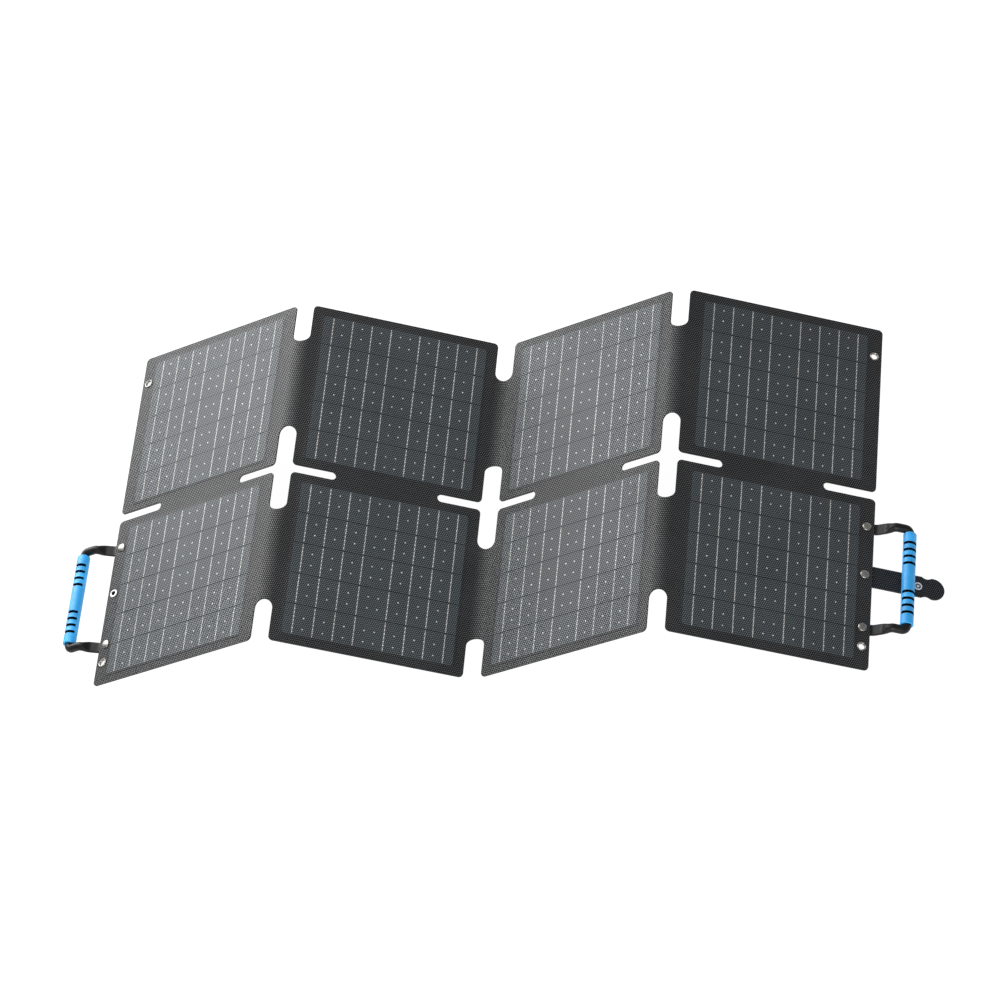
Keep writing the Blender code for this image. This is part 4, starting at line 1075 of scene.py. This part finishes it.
def screw_places():
    """Screw centres in two opposite corners of the box."""
    half_u, half_v = BOX_LENGTH / 2 - SCREW_INSET, BOX_WIDTH / 2 - SCREW_INSET
    return ((BOX_U - half_u, BOX_V - half_v), (BOX_U + half_u, BOX_V + half_v))


def build_lid(column):
    """Lid with a shallow panel sunk in its face, and holes for its screws."""
    mesh = bmesh.new()
    holes = [circle(u, v, SCREW_HEAD + HOLE_GAP, 24) for u, v in screw_places()]
    sunk_panel = [(box_outline(-PANEL_BORDER), 0.0),
                  (box_outline(-PANEL_BORDER - 0.0003), PANEL_DEPTH)]
    flat_sheet(mesh, box_outline(), holes, LID_BOTTOM, LID_TOP, [sunk_panel])
    piece = add_object("junction_lid_shell", mesh, ["housing"], column.matrix, flat_fill=True)
    settle(piece, column.name, "housing", "junction_box_lid")


def cross_outline(centre_u, centre_v, arm=0.0013, half=0.00025):
    """Outline of a screw's cross recess, counter-clockwise."""
    points = []
    for cosine, sine in ((1, 0), (0, 1), (-1, 0), (0, -1)):
        for u, v in ((arm, -half), (arm, half), (half, half)):
            points.append((centre_u + u * cosine - v * sine, centre_v + u * sine + v * cosine))
    return points


def build_screws(column):
    """Flat-head screws with a cross recess, seated in the lid."""
    for node, (u, v) in zip(("junction_box_screw_left", "junction_box_screw_right"),
                            screw_places()):
        mesh = bmesh.new()
        cross = cross_outline(u, v)
        flat_sheet(mesh, circle(u, v, SCREW_HEAD, 32), [], LID_BOTTOM, LID_TOP,
                   [[(cross, 0.0), (cross, CROSS_DEPTH)]])
        shank = [(0, BOX_RIM + 0.0042), (SCREW_SHANK, BOX_RIM + 0.0034),
                 (SCREW_SHANK, LID_TOP + 0.0001), (0, LID_TOP + 0.0001)]
        turned(mesh, shank, Matrix.Translation((u, v, 0)), False, 32)
        piece = add_object(node + "_turned", mesh, ["nickel"], column.matrix)
        settle(piece, column.name, "nickel", node)


def repaint_kept_nodes():
    """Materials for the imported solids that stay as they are."""
    looks = {"backing_board": ("board", "backing_board"), "junction_box_base": ("housing", "housing"),
             "junction_box_gasket": ("gasket", "gasket"), "diode_board": ("circuit", "circuit"),
             "blocking_diode": ("housing", "diode"), "output_socket": ("housing", "socket")}
    for name, node in frame["nodes"].items():
        for start, (key, slot) in looks.items():
            if name.startswith(start):
                node.data.materials.clear()
                node.data.materials.append(MATERIALS[key])
                node.data.shade_smooth()
                node.data.set_sharp_from_angle(angle=radians(30))


# ---------- stage

def build_stage():
    """Pale floor, studio lights, pale surroundings and the camera."""
    floor_mesh = bmesh.new()
    corners = ((-1, -1), (1, -1), (1, 1), (-1, 1))
    floor_mesh.faces.new([floor_mesh.verts.new((x * FLOOR_HALF, y * FLOOR_HALF, FLOOR_Z))
                          for x, y in corners])
    MATERIALS["floor"] = floor_material()
    floor = add_object("floor", floor_mesh, ["floor"])
    world = bpy.data.worlds.new("studio")
    world.use_nodes = True
    background = world.node_tree.nodes["Background"]
    background.inputs["Color"].default_value = (1.0, 1.0, 1.0, 1.0)
    background.inputs["Strength"].default_value = 0.40
    bpy.context.scene.world = world
    centre = (cad_box[0] + cad_box[1]) / 2
    soft_box("overhead", centre, Vector((-0.45, 0.50, 1.0)), 1.9, 1.6, 22.0)
    soft_box("left_back", centre, Vector((-0.74, 0.62, 0.31)), 1.7, 1.2, 33.0)
    soft_box("front", centre, Vector((0.25, -0.85, 0.50)), 2.2, 1.2, 30.0)
    add_camera()


def floor_material():
    """White paper that glows a little, so that shadows on it stay faint."""
    made, tree, shader = new_material("pale_floor")
    place = object_coordinates(tree)
    fibres = map_range(tree, noise(tree, place, 400.0, 3.0), 0.3, 0.7)
    paper = mix_colour(tree, fibres, (0.14, 0.14, 0.14), (0.16, 0.16, 0.16))
    tree.links.new(paper, shader.inputs["Base Color"])
    shader.inputs["Roughness"].default_value = 1.0
    shader.inputs["Specular IOR Level"].default_value = 0.0
    shader.inputs["Emission Color"].default_value = (1.0, 1.0, 1.0, 1.0)
    shader.inputs["Emission Strength"].default_value = 0.96
    add_bump(tree, shader, fibres, 0.00002)
    return made


def soft_box(name, target, direction, distance, size, power):
    """A square area light that looks at the target."""
    data = bpy.data.lights.new(name, "AREA")
    data.shape = "SQUARE"
    data.size = size
    data.energy = power
    light = bpy.data.objects.new(name, data)
    bpy.context.scene.collection.objects.link(light)
    towards = direction.normalized()
    light.location = target + towards * distance
    light.rotation_euler = (-towards).to_track_quat("-Z", "Y").to_euler()


def add_camera():
    """Camera above the right front, tilted about its own axis."""
    place = columns["col2"].matrix @ Vector((INNER_WIDTH / 2 + TONGUE, 0, 0))
    place += Vector((0.8645 + HALF_STRIP, -2.1699, 3.3526 + TONGUE * sin(TILT)))
    forward = Vector((-0.20895, 0.53264, -0.82014)).normalized()
    level = forward.cross(Vector((0, 0, 1))).normalized()
    roll = radians(19.57)
    up = level.cross(forward) * cos(roll) + level * sin(roll)
    data = bpy.data.cameras.new("camera")
    data.lens = 137.8
    data.sensor_width = 36.0
    data.clip_start, data.clip_end = 0.1, 100.0
    camera = bpy.data.objects.new("camera", data)
    bpy.context.scene.collection.objects.link(camera)
    matrix = Matrix.Identity(4)
    for i, axis in enumerate((forward.cross(up), up, -forward)):
        matrix.col[i][0:3] = axis
    matrix.translation = place
    camera.matrix_world = matrix
    bpy.context.scene.camera = camera


# ---------- assembly

def remove_startup_objects():
    """Remove Blender's own cube, light and camera."""
    for name in ("Cube", "Light", "Camera"):
        old = bpy.data.objects.get(name)
        if old is not None:
            bpy.data.objects.remove(old, do_unlink=True)


remove_startup_objects()
for each in columns.values():
    build_laminate(each)
    build_cells(each, 1, "top")
    build_cells(each, -1, "bottom")
build_crease("12", "ridge", columns["col1"], columns["col2"])
build_crease("23", "valley", columns["col2"], columns["col3"])
build_crease("34", "ridge", columns["col3"], columns["col4"])
for outer, outer_side, outer_name in ((columns["col1"], -1, "left"), (columns["col4"], 1, "right")):
    build_fasteners(outer, outer_side, outer_name)
    build_handle(outer, outer_side, outer_name)
build_strap(columns["col4"])
build_lid(columns["col4"])
build_screws(columns["col4"])
repaint_kept_nodes()
build_stage()
bpy.context.scene.view_settings.view_transform = "Standard"
